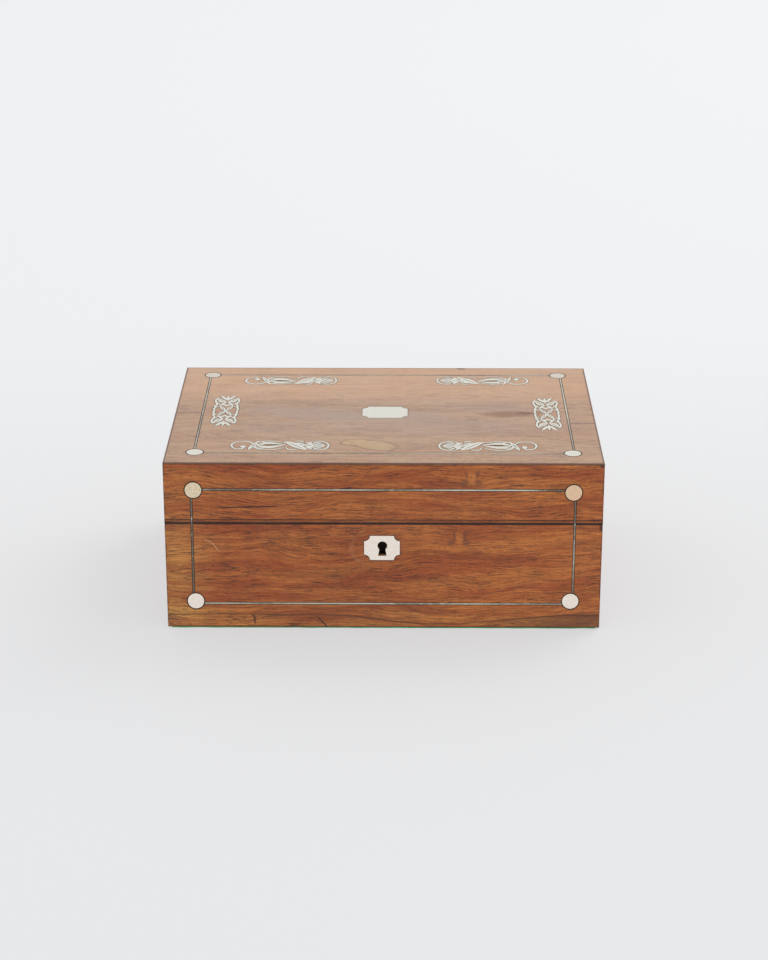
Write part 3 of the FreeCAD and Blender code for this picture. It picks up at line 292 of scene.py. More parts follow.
# %% Group: rosewood figure
SLOW_BEND = 27.0
QUICK_BEND = 1.8
PLUM_TINT = (0.74, 0.56, 0.60, 1.0)


def along_grain(tree, vector, length, width, shift=(0.0, 0.0, 0.0), **look):
    """A cloud stretched along the grain; length and width are in millimetres."""
    return cloud(tree, stretch(tree, vector, (1 / length, 1 / width, 1.0), shift), **look)


def bent_grain(tree, vector):
    """The sheet's coordinates with the grain's slow bends and quick wobble put in."""
    along, across, face = split(tree, vector)
    slow = along_grain(tree, vector, 110, 60, detail=2.0)
    quick = along_grain(tree, vector, 26, 8, (7.0, 3.0, 0.0), detail=2.0)
    bend = calc(tree, "ADD", times(tree, slow, SLOW_BEND), times(tree, quick, QUICK_BEND))
    return join(tree, along, calc(tree, "ADD", across, bend), face)


def wood_tones(tree, given, warped):
    """Rings and fine fibres between the two tones, with wide plum drifts over them."""
    drift = along_grain(tree, warped, 80, 12, detail=4.0, rough=0.6)
    rings = along_grain(tree, warped, 110, 2.4, detail=4.0, rough=0.65)
    fibre = along_grain(tree, warped, 13, 0.66, detail=4.0, rough=0.75)
    tone = calc(tree, "ADD", times(tree, grade(tree, rings, 0.38, 0.62), 0.40),
                times(tree, grade(tree, fibre, 0.36, 0.64), 0.60))
    wood = blend(tree, tone, given["Middle"], given["Light"])
    plum = times(tree, grade(tree, drift, 0.42, 0.60), given["Plum"])
    return blend(tree, plum, wood, PLUM_TINT, "MULTIPLY")


def dark_streaks(tree, given, warped):
    """Short near-black lines, which keep to some parts of the sheet."""
    lines = along_grain(tree, warped, 14, 0.62, (3.0, 9.0, 0.0), detail=3.0, rough=0.7)
    where = along_grain(tree, warped, 45, 9, (1.0, 5.0, 0.0), detail=3.0)
    streak = times(tree, grade(tree, lines, 0.53, 0.59), grade(tree, where, 0.36, 0.56))
    return calc(tree, "MULTIPLY", streak, given["Streaks"], clamp=True)


def open_pores(tree, warped):
    """The cut ends of the wood's vessels, as fine dark dashes."""
    dots = along_grain(tree, warped, 3.4, 0.42, (11.0, 2.0, 0.0), detail=2.0)
    return grade(tree, dots, 0.58, 0.68)


def build_rosewood():
    inputs = {
        "Vector": (0.0, 0.0, 0.0),
        "Light": (0.5, 0.2, 0.07, 1.0),
        "Middle": (0.3, 0.1, 0.035, 1.0),
        "Dark": (0.035, 0.014, 0.008, 1.0),
        "Streaks": 1.0,
        "Plum": 1.0,
    }
    tree, given, out = new_group("rosewood_figure", inputs, {"Color": "Color", "Pores": "Float"})
    warped = bent_grain(tree, given["Vector"])
    wood = wood_tones(tree, given, warped)
    wood = blend(tree, times(tree, dark_streaks(tree, given, warped), 0.8), wood, given["Dark"])
    pores = open_pores(tree, warped)
    wood = blend(tree, times(tree, pores, 0.6), wood, given["Dark"])
    give(tree, out, {"Color": wood, "Pores": pores})
    return tree


rosewood = build_rosewood()
print("group", rosewood.name)

# %% [markdown]
# ## Rubbed arrises
# Two centuries of dusting thin the polish along the outer edges. The mask comes from how close
# a point is to two of the case's outer planes at once, broken up by noise so that it looks
# knocked rather than drawn.

# %% Group: worn outer edges
def outer_distances(tree, coords):
    """How far a point lies inside the case's side, front and top planes, in millimetres."""
    x, y, z = split(tree, stretch(tree, coords, (1 / MM, 1 / MM, 1 / MM)))
    from_side = calc(tree, "SUBTRACT", cad_box[1][0] / MM, calc(tree, "ABSOLUTE", x))
    from_front = calc(tree, "SUBTRACT", cad_box[1][1] / MM, calc(tree, "ABSOLUTE", y))
    from_top = calc(tree, "SUBTRACT", top_z / MM, z)
    return from_side, from_front, from_top


def build_worn_edges():
    """A mask along the arrises; Width is in millimetres."""
    tree, given, out = new_group("worn_edges", {"Width": 2.0, "Roughness": 0.6}, {"Mask": "Float"})
    coords = own_place(tree)
    side, front, top = outer_distances(tree, coords)
    nearest = calc(tree, "MAXIMUM", side, front)
    for a, b in ((side, top), (front, top)):
        nearest = calc(tree, "MINIMUM", nearest, calc(tree, "MAXIMUM", a, b))
    ragged = cloud(tree, stretch(tree, coords, (160.0, 160.0, 160.0)), detail=4.0, rough=given["Roughness"])
    reach = times(tree, given["Width"], grade(tree, ragged, 0.35, 0.75, 0.1, 1.6))
    give(tree, out, {"Mask": grade(tree, calc(tree, "DIVIDE", nearest, reach), 1.0, 0.2)})
    return tree


worn_edges = build_worn_edges()
print("group", worn_edges.name)

# %% [markdown]
# ## Hairline scratches and haze
# Polish is never clean: fine scratches cross it in all directions and a haze of wax dulls it in
# patches. Metals, shell and polish all read this group, each at its own scale.

# %% Group: scratches and haze
SCRATCH_TURNS = ((0.5, 1.0), (-0.9, 5.0), (1.9, 9.0))
SCRATCH_AXIS = (0.3, 0.5, 0.8)
SCRATCH_STRETCH = (30.0, 2200.0, 900.0)


def build_handling():
    """Thin scratches in three directions and a cloudy haze; Seed moves the haze about."""
    inputs = {"Scale": 1.0, "Seed": 0.0}
    tree, given, out = new_group("handling_marks", inputs, {"Scratches": "Float", "Haze": "Float"})
    sized = {0: own_place(tree), "Scale": given["Scale"]}
    scaled = place(tree, "ShaderNodeVectorMath", sized, operation="SCALE").outputs[0]
    scratches = []
    for turn, shift in SCRATCH_TURNS:
        wires = {"Vector": scaled, "Axis": SCRATCH_AXIS, "Angle": turn}
        turned = place(tree, "ShaderNodeVectorRotate", wires).outputs[0]
        thin = cloud(tree, stretch(tree, turned, SCRATCH_STRETCH, (shift, shift, shift)), detail=1.0)
        scratches.append(grade(tree, thin, 0.70, 0.76))
    moved = {0: scaled, 1: join(tree, given["Seed"], 0.0, 0.0)}
    seeded = place(tree, "ShaderNodeVectorMath", moved).outputs[0]
    haze = grade(tree, cloud(tree, seeded, scale=24.0, detail=5.0, rough=0.6), 0.35, 0.7)
    give(tree, out, {"Scratches": strongest(tree, scratches), "Haze": haze})
    return tree


handling = build_handling()
print("group", handling.name)

# %% [markdown]
# ## The front and sides: warm polished rosewood
# The polished sheets around the case kept their orange colour. Two knots sit right of the
# keyhole, a dark line wanders along the foot, and the left end is yellower. These are painted
# with the same tools as the figure, at places measured in millimetres on the sheet.

# %% Rosewood colours
HONEY = (0.60, 0.190, 0.044, 1.0)
CHESTNUT = (0.258, 0.067, 0.0165, 1.0)
INK = (0.034, 0.015, 0.013, 1.0)
print("wood colours: honey, chestnut and ink")

# %% [markdown]
# ## Marks at measured places
# A crack or a patch of filler is one soft oval on the sheet. Its outline is broken up by noise,
# because a true ellipse never looks like damage. Long thin ovals make cracks and scratches.

# %% Marks drawn on a sheet
def radius_in(tree, vector, centre, size, turn=0.0):
    """How far a point is from the middle of a turned oval; 1 is on the oval."""
    along, across, _ = split(tree, vector)
    dx = calc(tree, "SUBTRACT", along, centre[0])
    dy = calc(tree, "SUBTRACT", across, centre[1])
    cosine, sine = math.cos(turn), math.sin(turn)
    u = calc(tree, "ADD", times(tree, dx, cosine), times(tree, dy, sine))
    v = calc(tree, "SUBTRACT", times(tree, dy, cosine), times(tree, dx, sine))
    u = calc(tree, "DIVIDE", u, size[0])
    v = calc(tree, "DIVIDE", v, size[1])
    return calc(tree, "SQRT", calc(tree, "ADD", times(tree, u, u), times(tree, v, v)))


def patch(tree, vector, centre, size, softness=0.35, ragged=0.5, turn=0.0):
    """A soft-edged oval with a ragged outline, given in sheet millimetres."""
    edge = along_grain(tree, vector, 9, 6, detail=4.0)
    bumps = times(tree, calc(tree, "SUBTRACT", edge, 0.5), ragged)
    radius = calc(tree, "ADD", radius_in(tree, vector, centre, size, turn), bumps)
    return grade(tree, radius, 1.0 + softness / 2, 1.0 - softness / 2)


def patches(tree, vector, marks, softness=0.35):
    """The strongest of several patches; each mark is (centre, size, turn)."""
    return strongest(tree, [
        patch(tree, vector, centre, size, softness, ragged=0.6, turn=turn) for centre, size, turn in marks
    ])


def level_line(tree, across, height, half, soft):
    """A line at one height, fading over the given softness."""
    away = calc(tree, "ABSOLUTE", calc(tree, "SUBTRACT", across, height))
    return grade(tree, away, half + soft, half)


print("mark helpers ready")

# %% [markdown]
# ## Cracks, scratches and a rubbed arc
# The front sheet carries small damage from use: short cracks at the foot and the corners, two
# pale scratches, and an arc left of the keyhole where a key ring swung. The lists give each one
# its middle, its half sizes and its turn.

# %% Marks of the front sheet
FRONT_CRACKS = [
    ((-89.5, 7.0), (0.6, 4.0), 0.1),
    ((-90.6, 9.6), (0.5, 2.4), 0.8),
    ((-42.0, 4.5), (6.0, 0.6), -0.85),
    ((148.9, 121.6), (2.2, 1.6), 0.0),
    ((149.2, 77.0), (1.6, 3.0), 0.0),
    ((-148.6, 79.2), (2.6, 1.2), 0.0),
    ((-26.0, 104.8), (5.5, 0.5), 0.1),
    ((-93.0, 91.0), (22.0, 0.6), 0.03),
]
FRONT_SCRATCHES = [((-115.6, 61.5), (5.5, 0.35), -0.9), ((-121.0, 66.0), (2.4, 0.3), -0.5)]
RING_ARC = ((-1.0, 61.0), (21.0, 15.0))


def foot_line(tree, vector):
    """The dark line that wanders along the foot of the sheet, and the part below it."""
    along, across, _ = split(tree, vector)
    wobble = cloud(tree, stretch(tree, vector, (1 / 45, 0.0, 0.0)), detail=3.0)
    from_dip = calc(tree, "ABSOLUTE", calc(tree, "SUBTRACT", along, 42.0))
    dip = grade(tree, from_dip, 85.0, 5.0, 0.0, 7.0)
    height = calc(tree, "SUBTRACT", calc(tree, "ADD", times(tree, wobble, 4.0), 8.6), dip)
    above = calc(tree, "SUBTRACT", across, height)
    on_line = grade(tree, calc(tree, "ABSOLUTE", above), 0.85, 0.15)
    return on_line, grade(tree, above, 0.4, -0.4)


def rubbed_arc(tree, vector):
    """A pale arc left of the keyhole, where a key ring has swung against the polish."""
    along, _, _ = split(tree, vector)
    radius = radius_in(tree, vector, *RING_ARC)
    arc = grade(tree, calc(tree, "ABSOLUTE", calc(tree, "SUBTRACT", radius, 1.0)), 0.11, 0.01)
    broken = grade(tree, along_grain(tree, vector, 5, 4, detail=3.0), 0.38, 0.62)
    return times(tree, times(tree, arc, broken), grade(tree, along, -6.0, -18.0))


print("front marks:", len(FRONT_CRACKS) + len(FRONT_SCRATCHES))

# %% [markdown]
# ## The hearts of the two knots
# The wood inside a knot was cut across its fibres, so it takes more polish and looks brighter,
# with dark resin around it. A bright oval and four dark smudges, all very soft, are enough: a
# sharp outline would look like a drip.

# %% The knots' hearts
KNOTS = [(60.0, 112.5), (52.0, 68.5)]
KNOT_REACH = (11.0, 9.0)
KNOT_SMUDGES = [
    ((-5.2, -3.2), (3.0, 2.2), 0.5),
    ((4.4, -3.4), (3.2, 2.2), -0.4),
    ((3.8, 2.6), (1.3, 3.4), -0.3),
    ((-3.6, 2.0), (0.9, 3.0), 0.2),
]
RESIN = (0.11, 0.042, 0.026, 1.0)
HEART = (0.60, 0.205, 0.045, 1.0)


def add_knot_hearts(tree, colour, vector):
    """An upright orange heart with dark smudges round it, at each knot of the front sheet."""
    _, _, face = split(tree, vector)
    on_front_face = level_line(tree, face, FRONT_FACE, 3.0, 1.0)
    hearts, smudges = [], []
    for along, across in KNOTS:
        hearts.append(((along, across), (2.6, 4.6), 0.1))
        for (right, up), size, turn in KNOT_SMUDGES:
            smudges.append(((along + right, across + up), size, turn))
    smudge = times(tree, patches(tree, vector, smudges, 0.9), on_front_face)
    colour = blend(tree, times(tree, smudge, 0.5), colour, RESIN)
    heart = times(tree, patches(tree, vector, hearts, 0.9), on_front_face)
    return blend(tree, times(tree, heart, 0.42), colour, HEART)


def case_figure(tree, sheet):
    """The sheet's figure, parted round its knots."""
    vector = sheet
    for along, across in KNOTS:
        where = {"Vector": vector, "Along": along, "Across": across, "Face": FRONT_FACE}
        where.update({"Length": KNOT_REACH[0], "Height": KNOT_REACH[1]})
        vector = use_group(tree, knot_group, where)["Vector"]
    colours = {"Vector": vector, "Light": HONEY, "Middle": CHESTNUT, "Dark": INK, "Streaks": 1.0}
    wood = use_group(tree, rosewood, colours)
    return add_knot_hearts(tree, wood["Color"], sheet), wood["Pores"]


print(len(KNOTS), "knots, each with a heart and", len(KNOT_SMUDGES), "smudges")

# %% [markdown]
# ## Light and dark parts of the sheets
# One board is never one tone. The right side of the case is a little brighter, the part under
# the keyhole darker and redder, the foot and the left end yellower where the polish has worn.
# Each is a wide soft mask that multiplies the wood by a tint, so that the figure stays visible.


# %% Tones across the sheets
BRIGHTER = (1.09, 1.12, 1.08, 1.0)
REDDER = (0.90, 0.88, 0.90, 1.0)
FOOT_TINT = (1.15, 1.38, 1.42, 1.0)
WORN_YELLOW = (1.25, 1.9, 2.0, 1.0)
UNDER_LINE = (0.10, 0.045, 0.025, 1.0)


def add_drifts(tree, colour, vector):
    """Wide drifts of tone over the case, from end to end and from foot to lid."""
    along, across, _ = split(tree, vector)
    colour = blend(tree, grade(tree, along, -40.0, 90.0), colour, BRIGHTER, "MULTIPLY")
    from_centre = calc(tree, "ABSOLUTE", calc(tree, "ADD", along, 10.0))
    low_half = times(tree, grade(tree, from_centre, 75.0, 25.0, 0.0, 0.8), grade(tree, across, 79.0, 66.0))
    colour = blend(tree, low_half, colour, REDDER, "MULTIPLY")
    colour = blend(tree, grade(tree, across, 18.0, 13.0, 0.0, 0.8), colour, FOOT_TINT, "MULTIPLY")
    left_end = grade(tree, along, -108.0, -145.0)
    yellow = times(tree, left_end, grade(tree, across, 84.0, 72.0, 0.15, 0.6))
    return blend(tree, yellow, colour, WORN_YELLOW, "MULTIPLY")


def add_front_marks(tree, colour, vector):
    """Foot line and cracks, then scratches and the rubbed arc, which keep to the front."""
    along, _, face = split(tree, vector)
    on_front_face = level_line(tree, face, FRONT_FACE, 3.0, 1.0)
    on_line, below = foot_line(tree, vector)
    shade = times(tree, below, grade(tree, along, 50.0, 125.0, 0.0, 0.6))
    colour = blend(tree, shade, colour, UNDER_LINE)
    dark = strongest(tree, [times(tree, on_line, 0.75), patches(tree, vector, FRONT_CRACKS)])
    colour = blend(tree, times(tree, times(tree, dark, on_front_face), 0.85), colour, INK)
    arc = times(tree, rubbed_arc(tree, vector), 0.26)
    pale = strongest(tree, [arc, patches(tree, vector, FRONT_SCRATCHES)])
    pale = times(tree, times(tree, pale, on_front_face), 0.6)
    return blend(tree, pale, colour, (0.62, 0.38, 0.22, 1.0)), dark


print("tones: brighter right, redder middle, yellow foot and left end")

# %% [markdown]
# ## Seams, and the whole case veneer
# Wax and dust settle wherever two pieces meet: in the joint between lid and body, along the
# edging and at the rims. Last comes the polish, a thin coat that is gone where the edges are
# worn. The order matters, since each layer is laid over the ones before it, as on the real case.

# %% Material: case veneer
JOINT_HEIGHT = 79.0
EDGING_TOP = 81.7
GRIME = (0.028, 0.012, 0.008, 1.0)


def add_seams(tree, colour, vector):
    """Grime in the joint between lid and body, on the edging and at both rims."""
    _, across, _ = split(tree, vector)
    joint = level_line(tree, across, JOINT_HEIGHT, 0.6, 0.6)
    edging = times(tree, level_line(tree, across, EDGING_TOP, 0.15, 0.45), 0.8)
    band = times(tree, level_line(tree, across, EDGING_TOP - 1.0, 0.9, 0.4), 0.35)
    top_rim = grade(tree, across, 121.5, 122.6, 0.0, 0.9)
    foot_rim = grade(tree, across, 2.6, 1.4, 0.0, 0.6)
    grime = strongest(tree, [joint, edging, band, top_rim, foot_rim])
    return blend(tree, grime, colour, GRIME)


def case_colour(tree, sheet):
    """All the colour layers of the case, with the masks that the relief needs."""
    colour, pores = case_figure(tree, sheet)
    colour = add_drifts(tree, colour, sheet)
    colour, dark = add_front_marks(tree, colour, sheet)
    worn = use_group(tree, worn_edges, {"Width": 1.5, "Roughness": 0.6})["Mask"]
    colour = blend(tree, times(tree, worn, 0.75), colour, (0.085, 0.030, 0.014, 1.0))
    return add_seams(tree, colour, sheet), pores, dark, worn


def case_veneer():
    """Polished rosewood for the sheets round the case."""
    material, tree, shader = new_material(
        "rosewood_case_veneer", Coat_Roughness=0.2, IOR=1.5, Specular_IOR_Level=0.28
    )
    colour, pores, dark, worn = case_colour(tree, use_group(tree, grain_space)["Vector"])
    haze = use_group(tree, handling, {"Scale": 1.0, "Seed": 2.0})["Haze"]
    # a faint greyish bloom in the haze's patches, partly wax bloom and partly a painted reflection on the
    # polish
    colour = blend(tree, times(tree, haze, 0.06), colour, (0.30, 0.165, 0.105, 1.0))
    rough = calc(tree, "ADD", 0.38, times(tree, haze, 0.14))
    rough = calc(tree, "ADD", rough, times(tree, pores, 0.2))
    hollow = calc(tree, "ADD", times(tree, pores, -1.0), times(tree, dark, -0.8))
    coat = calc(tree, "SUBTRACT", 0.08, times(tree, worn, 0.08))
    wire(tree, shader, Base_Color=colour, Roughness=rough, Coat_Weight=coat,
         Normal=relief(tree, hollow, 0.00012, 0.5))
    return material


case_wood = case_veneer()
print("material", case_wood.name)

# %% [markdown]
# ## The lid's top: faded rosewood with a painted sheen
# Light falls on the top for years, so its colour has gone towards a pale pinkish tan and the polish to a
# soft haze; part of the pale colour is a painted reflection of the bright surround on the polish. The same
# figure group is used with paler colours. Old damage is placed one by one: a pale patch of new filler, a
# brown worn patch with a crack, and short checks at the ends.

# %% Places on the top sheet
FILLER_PATCHES = [((-6.0, -66.0), (15.5, 9.0), -0.35, 0.35), ((-20.0, -60.0), (10.5, 5.5), 0.25, 0.3)]
TOP_CRACKS = [
    ((-141.0, 0.0), (12.0, 0.5), 0.0), ((142.0, -21.0), (11.0, 0.5), 0.0), ((57.0, 99.0), (3.2, 1.2), 0.0),
]
TOP_LINES = [
    ((-60.0, 62.0), (75.0, 0.45), 0.0), ((60.0, 61.0), (60.0, 0.4), 0.0), ((30.0, 15.0), (70.0, 0.7), 0.0),
    ((-85.0, 20.0), (40.0, 0.5), 0.01), ((-20.0, -88.0), (90.0, 0.5), 0.0),
    ((-60.0, -34.0), (50.0, 0.4), 0.0),
]
SCROLL_GROUNDS = [
    ((-70.0, 71.0), (36.0, 9.5)), ((72.5, 71.6), (36.0, 9.5)), ((-71.9, -67.3), (36.0, 9.5)),
    ((71.9, -67.5), (36.0, 9.5)), ((-114.2, 3.9), (10.5, 34.0)), ((116.3, 1.5), (10.5, 34.0)),
]
print("top marks:", len(FILLER_PATCHES), "patches,", len(TOP_CRACKS) + len(TOP_LINES), "cracks and lines")

# %% [markdown]
# ## How the top faded, and its painted light
# The sun took the orange first. The back of the top is painted warmest and palest, a painted highlight where
# the light from behind falls, and a grey haze is painted over the middle, a painted reflection. Two masks in
# sheet millimetres carry that.


# %% Faded tones and painted light of the top
# faded colours, made paler still as a painted reflection of the bright surround
FADED_WITH_PAINTED_SHEEN = {
    "Light": (0.520, 0.305, 0.175, 1.0), "Middle": (0.380, 0.230, 0.140, 1.0),
    "Dark": (0.115, 0.068, 0.045, 1.0), "Streaks": 1.0, "Plum": 0.35,
}
# painted reflection: a grey haze over the middle of the top
GREY_REFLECTION_PAINT = (0.355, 0.250, 0.200, 1.0)
# painted highlight: the back of the top, where the light from behind falls
BACK_HIGHLIGHT_PAINT = (0.66, 0.385, 0.225, 1.0)
SCROLL_STAIN = (0.42, 0.225, 0.115, 1.0)


def add_painted_sheen(tree, colour, vector):
    """A cloudy grey band in the middle, a painted reflection, and a warm pale back, a painted highlight."""
    along, across, _ = split(tree, vector)
    from_middle = calc(tree, "ABSOLUTE", calc(tree, "ADD", across, 6.0))
    middle = grade(tree, from_middle, 52.0, 10.0, 0.0, 0.75)
    middle = times(tree, middle, grade(tree, calc(tree, "ABSOLUTE", along), 125.0, 75.0))
    cloudy = grade(tree, along_grain(tree, vector, 110, 26, (4.0, 1.0, 0.0)), 0.35, 0.6)
    # painted reflection in the middle, then a painted highlight at the back
    colour = blend(tree, times(tree, middle, cloudy), colour, GREY_REFLECTION_PAINT)
    return blend(tree, grade(tree, across, 8.0, 58.0, 0.0, 0.42), colour, BACK_HIGHLIGHT_PAINT)


def add_scroll_grounds(tree, colour, vector):
    """The wood is a shade darker round each scroll, where the mastic soaked in."""
    for centre, size in SCROLL_GROUNDS:
        ground = patch(tree, vector, centre, size, softness=0.6, ragged=0.3)
        colour = blend(tree, times(tree, ground, 0.3), colour, SCROLL_STAIN)
    return colour


print("faded tones ready")

# %% [markdown]
# ## Old damage on the top
# A loss near the front was made good with pale filler, whose rim has darkened. Right of the
# middle the surface is worn brown round a crack. Short checks run in from both ends. All the
# patches share one mottle, so that they look soaked into the wood and not laid on it.


# %% Damage of the top
FILLER = (0.490, 0.325, 0.155, 1.0)
FILLER_RIM = (0.22, 0.115, 0.055, 1.0)
WORN_BROWN = (0.235, 0.105, 0.042, 1.0)
CRACK = (0.05, 0.025, 0.018, 1.0)


def add_filler(tree, colour, vector, mottle):
    """The pale comma of filler with its broken dark rim."""
    filler = strongest(tree, [
        patch(tree, vector, centre, size, turn=turn, ragged=ragged)
        for centre, size, turn, ragged in FILLER_PATCHES
    ])
    amount = times(tree, filler, grade(tree, mottle, 0.3, 0.7, 0.25, 0.85))
    colour = blend(tree, amount, colour, FILLER)
    rim = times(tree, filler, calc(tree, "SUBTRACT", 1.0, filler))
    rim = calc(tree, "MULTIPLY", rim, grade(tree, mottle, 0.25, 0.6, 1.2, 3.2), clamp=True)
    return blend(tree, rim, colour, FILLER_RIM)


def add_worn_patch(tree, colour, vector, mottle):
    """The brown patch where the surface has gone through."""
    worn = patch(tree, vector, (88.0, -2.0), (18.0, 6.0), softness=0.6, ragged=0.9)
    worn = times(tree, worn, grade(tree, mottle, 0.25, 0.6, 0.6, 0.95))
    return blend(tree, worn, colour, WORN_BROWN)


def top_cracks(tree, vector):
    """The long crack, the short checks and the faint lines, as one mask."""
    long_crack = patch(tree, vector, (104.0, 0.5), (11.0, 0.9), ragged=0.5)
    faint = times(tree, patches(tree, vector, TOP_LINES), 0.3)
    return strongest(tree, [long_crack, patches(tree, vector, TOP_CRACKS), faint])


def add_arris_line(tree, colour, vector):
    """A dark line of old polish right along the outer edge of the top."""
    along, across, _ = split(tree, vector)
    from_end = calc(tree, "SUBTRACT", cad_box[1][0] / MM, calc(tree, "ABSOLUTE", along))
    from_long_edge = calc(tree, "SUBTRACT", cad_box[1][1] / MM, calc(tree, "ABSOLUTE", across))
    nearest = calc(tree, "MINIMUM", from_end, from_long_edge)
    return blend(tree, grade(tree, nearest, 1.7, 0.7, 0.0, 0.85), colour, (0.100, 0.038, 0.018, 1.0))


print("filler, worn patch, cracks and arris line ready")

# %% [markdown]
# ## The whole top
# The layers go on in the order in which they happened: the faded wood with its painted sheen, the damage,
# the worn edges, and the fine scratches of dusting last.


# %% Material: faded top with painted sheen
def top_colour(tree, vector):
    """Every colour layer of the top, with the pores and cracks that the relief needs."""
    wood = use_group(tree, rosewood, {"Vector": vector, **FADED_WITH_PAINTED_SHEEN})
    mottle = along_grain(tree, vector, 8, 4, detail=4.0, rough=0.65)
    colour = add_painted_sheen(tree, wood["Color"], vector)
    colour = add_filler(tree, colour, vector, mottle)
    colour = add_worn_patch(tree, colour, vector, mottle)
    colour = add_scroll_grounds(tree, colour, vector)
    cracks = top_cracks(tree, vector)
    return blend(tree, times(tree, cracks, 0.9), colour, CRACK), wood["Pores"], cracks


def top_veneer():
    """Pale faded rosewood with a soft haze and a painted sheen for the lid's top."""
    material, tree, shader = new_material(
        "rosewood_top_faded_painted_sheen", Coat_Weight=0.2, Coat_Roughness=0.3, IOR=1.5, Specular_IOR_Level=0.4
    )
    vector = use_group(tree, grain_space)["Vector"]
    colour, pores, cracks = top_colour(tree, vector)
    edge = use_group(tree, worn_edges, {"Width": 2.2, "Roughness": 0.6})["Mask"]
    colour = blend(tree, times(tree, edge, 0.5), colour, (0.22, 0.10, 0.05, 1.0))
    colour = add_arris_line(tree, colour, vector)
    marks = use_group(tree, handling, {"Scale": 1.0, "Seed": 7.0})
    colour = blend(tree, times(tree, marks["Scratches"], 0.10), colour, (0.7, 0.55, 0.45, 1.0))
    rough = calc(tree, "ADD", 0.42, times(tree, marks["Haze"], 0.16))
    hollow = calc(tree, "ADD", times(tree, pores, -0.8), times(tree, cracks, -2.5))
    wire(tree, shader, Base_Color=colour, Roughness=rough, Normal=relief(tree, hollow, 0.00012, 0.5))
    return material


top_wood = top_veneer()
print("material", top_wood.name)

# %% [markdown]
# ## Plain wood inside
# The carcass is waxed pine or fruitwood. It is the same figure with pale colours and few
# streaks. Mouldings and the glass frame are darker rosewood without the damage.

# %% Materials: carcass and mouldings
def plain_wood(name, light, middle, dark, streaks, gloss):
    """Sound wood without damage; gloss is the shader's base roughness."""
    material, tree, shader = new_material(name, Coat_Roughness=0.2)
    vector = use_group(tree, grain_space)["Vector"]
    colours = {"Vector": vector, "Light": light, "Middle": middle, "Dark": dark, "Streaks": streaks}
    wood = use_group(tree, rosewood, colours)
    haze = use_group(tree, handling, {"Scale": 1.0, "Seed": 4.0})["Haze"]
    colour = blend(tree, times(tree, haze, 0.15), wood["Color"], middle)
    rough = calc(tree, "ADD", gloss, times(tree, haze, 0.15))
    hollow = times(tree, wood["Pores"], -1.0)
    wire(tree, shader, Base_Color=colour, Roughness=rough, Normal=relief(tree, hollow, 0.0001, 0.4))
    return material


STRAW = (0.50, 0.265, 0.105, 1.0)
TOAST = (0.36, 0.168, 0.060, 1.0)
UMBER = (0.13, 0.05, 0.02, 1.0)
carcass_wood = plain_wood("waxed_carcass_wood", STRAW, TOAST, UMBER, 0.25, 0.45)
moulding_wood = plain_wood("rosewood_mouldings", HONEY, CHESTNUT, INK, 0.9, 0.3)
print("materials", carcass_wood.name, "and", moulding_wood.name)

# %% [markdown]
# ## Pearl shell
# Nacre is built of sheets thinner than a hair, so it shimmers between cream, rose and pale
# green and shows soft bands. The colour drifts with a cloudy pattern over the surface, and a
# clear coat gives the wet gloss. The shimmer comes from surface colour alone, so it stays put.

# %% Group: nacre
NACRE_SHADE = (0.70, 0.64, 0.56, 1.0)


def build_nacre():
    """Cloudy folds of two tones, bands of a third, and fine dark grains."""
    inputs = {"Cream": (0.8, 0.7, 0.6, 1.0), "Cool": (0.7, 0.7, 0.65, 1.0), "Rose": (0.8, 0.6, 0.5, 1.0)}
    tree, given, out = new_group("nacre", inputs, {"Color": "Color", "Folds": "Float"})
    coords = own_place(tree)
    folds = cloud(tree, stretch(tree, coords, (420.0, 300.0, 420.0)), detail=3.0, twist=1.2)
    bands = cloud(tree, stretch(tree, coords, (900.0, 260.0, 700.0), (2.0, 0.0, 0.0)), detail=2.0, twist=2.0)
    colour = blend(tree, grade(tree, folds, 0.38, 0.62), given["Cream"], given["Cool"])
    colour = blend(tree, grade(tree, bands, 0.48, 0.66, 0.0, 0.75), colour, given["Rose"])
    grains = cloud(tree, stretch(tree, coords, (2600.0, 2600.0, 2600.0)), detail=2.0, rough=0.7)
    colour = blend(tree, grade(tree, grains, 0.48, 0.66, 0.0, 0.7), colour, NACRE_SHADE, "MULTIPLY")
    give(tree, out, {"Color": colour, "Folds": folds})
    return tree


nacre = build_nacre()
print("group", nacre.name)

# %% [markdown]
# ## Two kinds of shell
# The front plates are warm cream shell, the top ones a cooler shell with a green cast. The two
# discs of the lid's front are yellower, and the right one is a tan pink. One sheet of shell was
# seldom enough for a whole box. The tints change with the place on the piece.

# %% Materials: pearl
WARM_SHELL = {
    "Cream": (0.97, 0.87, 0.77, 1.0), "Cool": (0.95, 0.89, 0.81, 1.0), "Rose": (0.97, 0.80, 0.70, 1.0),
}
COOL_SHELL = {
    "Cream": (0.67, 0.63, 0.53, 1.0), "Cool": (0.60, 0.65, 0.57, 1.0), "Rose": (0.71, 0.61, 0.56, 1.0),
}
NO_TINT = (1.0, 1.0, 1.0, 1.0)
YELLOWED = (1.26, 1.12, 0.97, 1.0)
DEEP_YELLOW = (1.12, 0.91, 0.63, 1.0)
TAN_PINK = (1.24, 0.87, 0.63, 1.0)
BACK_DISCS = (0.88, 0.80, 0.76, 1.0)


def shell_material(name, shades, tint_at=None):
    """Polished shell; tint_at gives the tint that the place on the piece asks for."""
    material, tree, shader = new_material(name, IOR=1.6, Coat_Weight=0.3, Coat_Roughness=0.1)
    cloudy = use_group(tree, nacre, shades)
    marks = use_group(tree, handling, {"Scale": 3.0, "Seed": 1.0})
    colour = cloudy["Color"]
    if tint_at:
        colour = blend(tree, 1.0, colour, tint_at(tree), "MULTIPLY")
    colour = blend(tree, times(tree, marks["Scratches"], 0.3), colour, (0.35, 0.28, 0.22, 1.0))
    rough = calc(tree, "ADD", 0.2, times(tree, marks["Haze"], 0.15))
    hollow = relief(tree, cloudy["Folds"], 0.0001, 0.35)
    wire(tree, shader, Base_Color=colour, Roughness=rough, Normal=hollow)
    return material


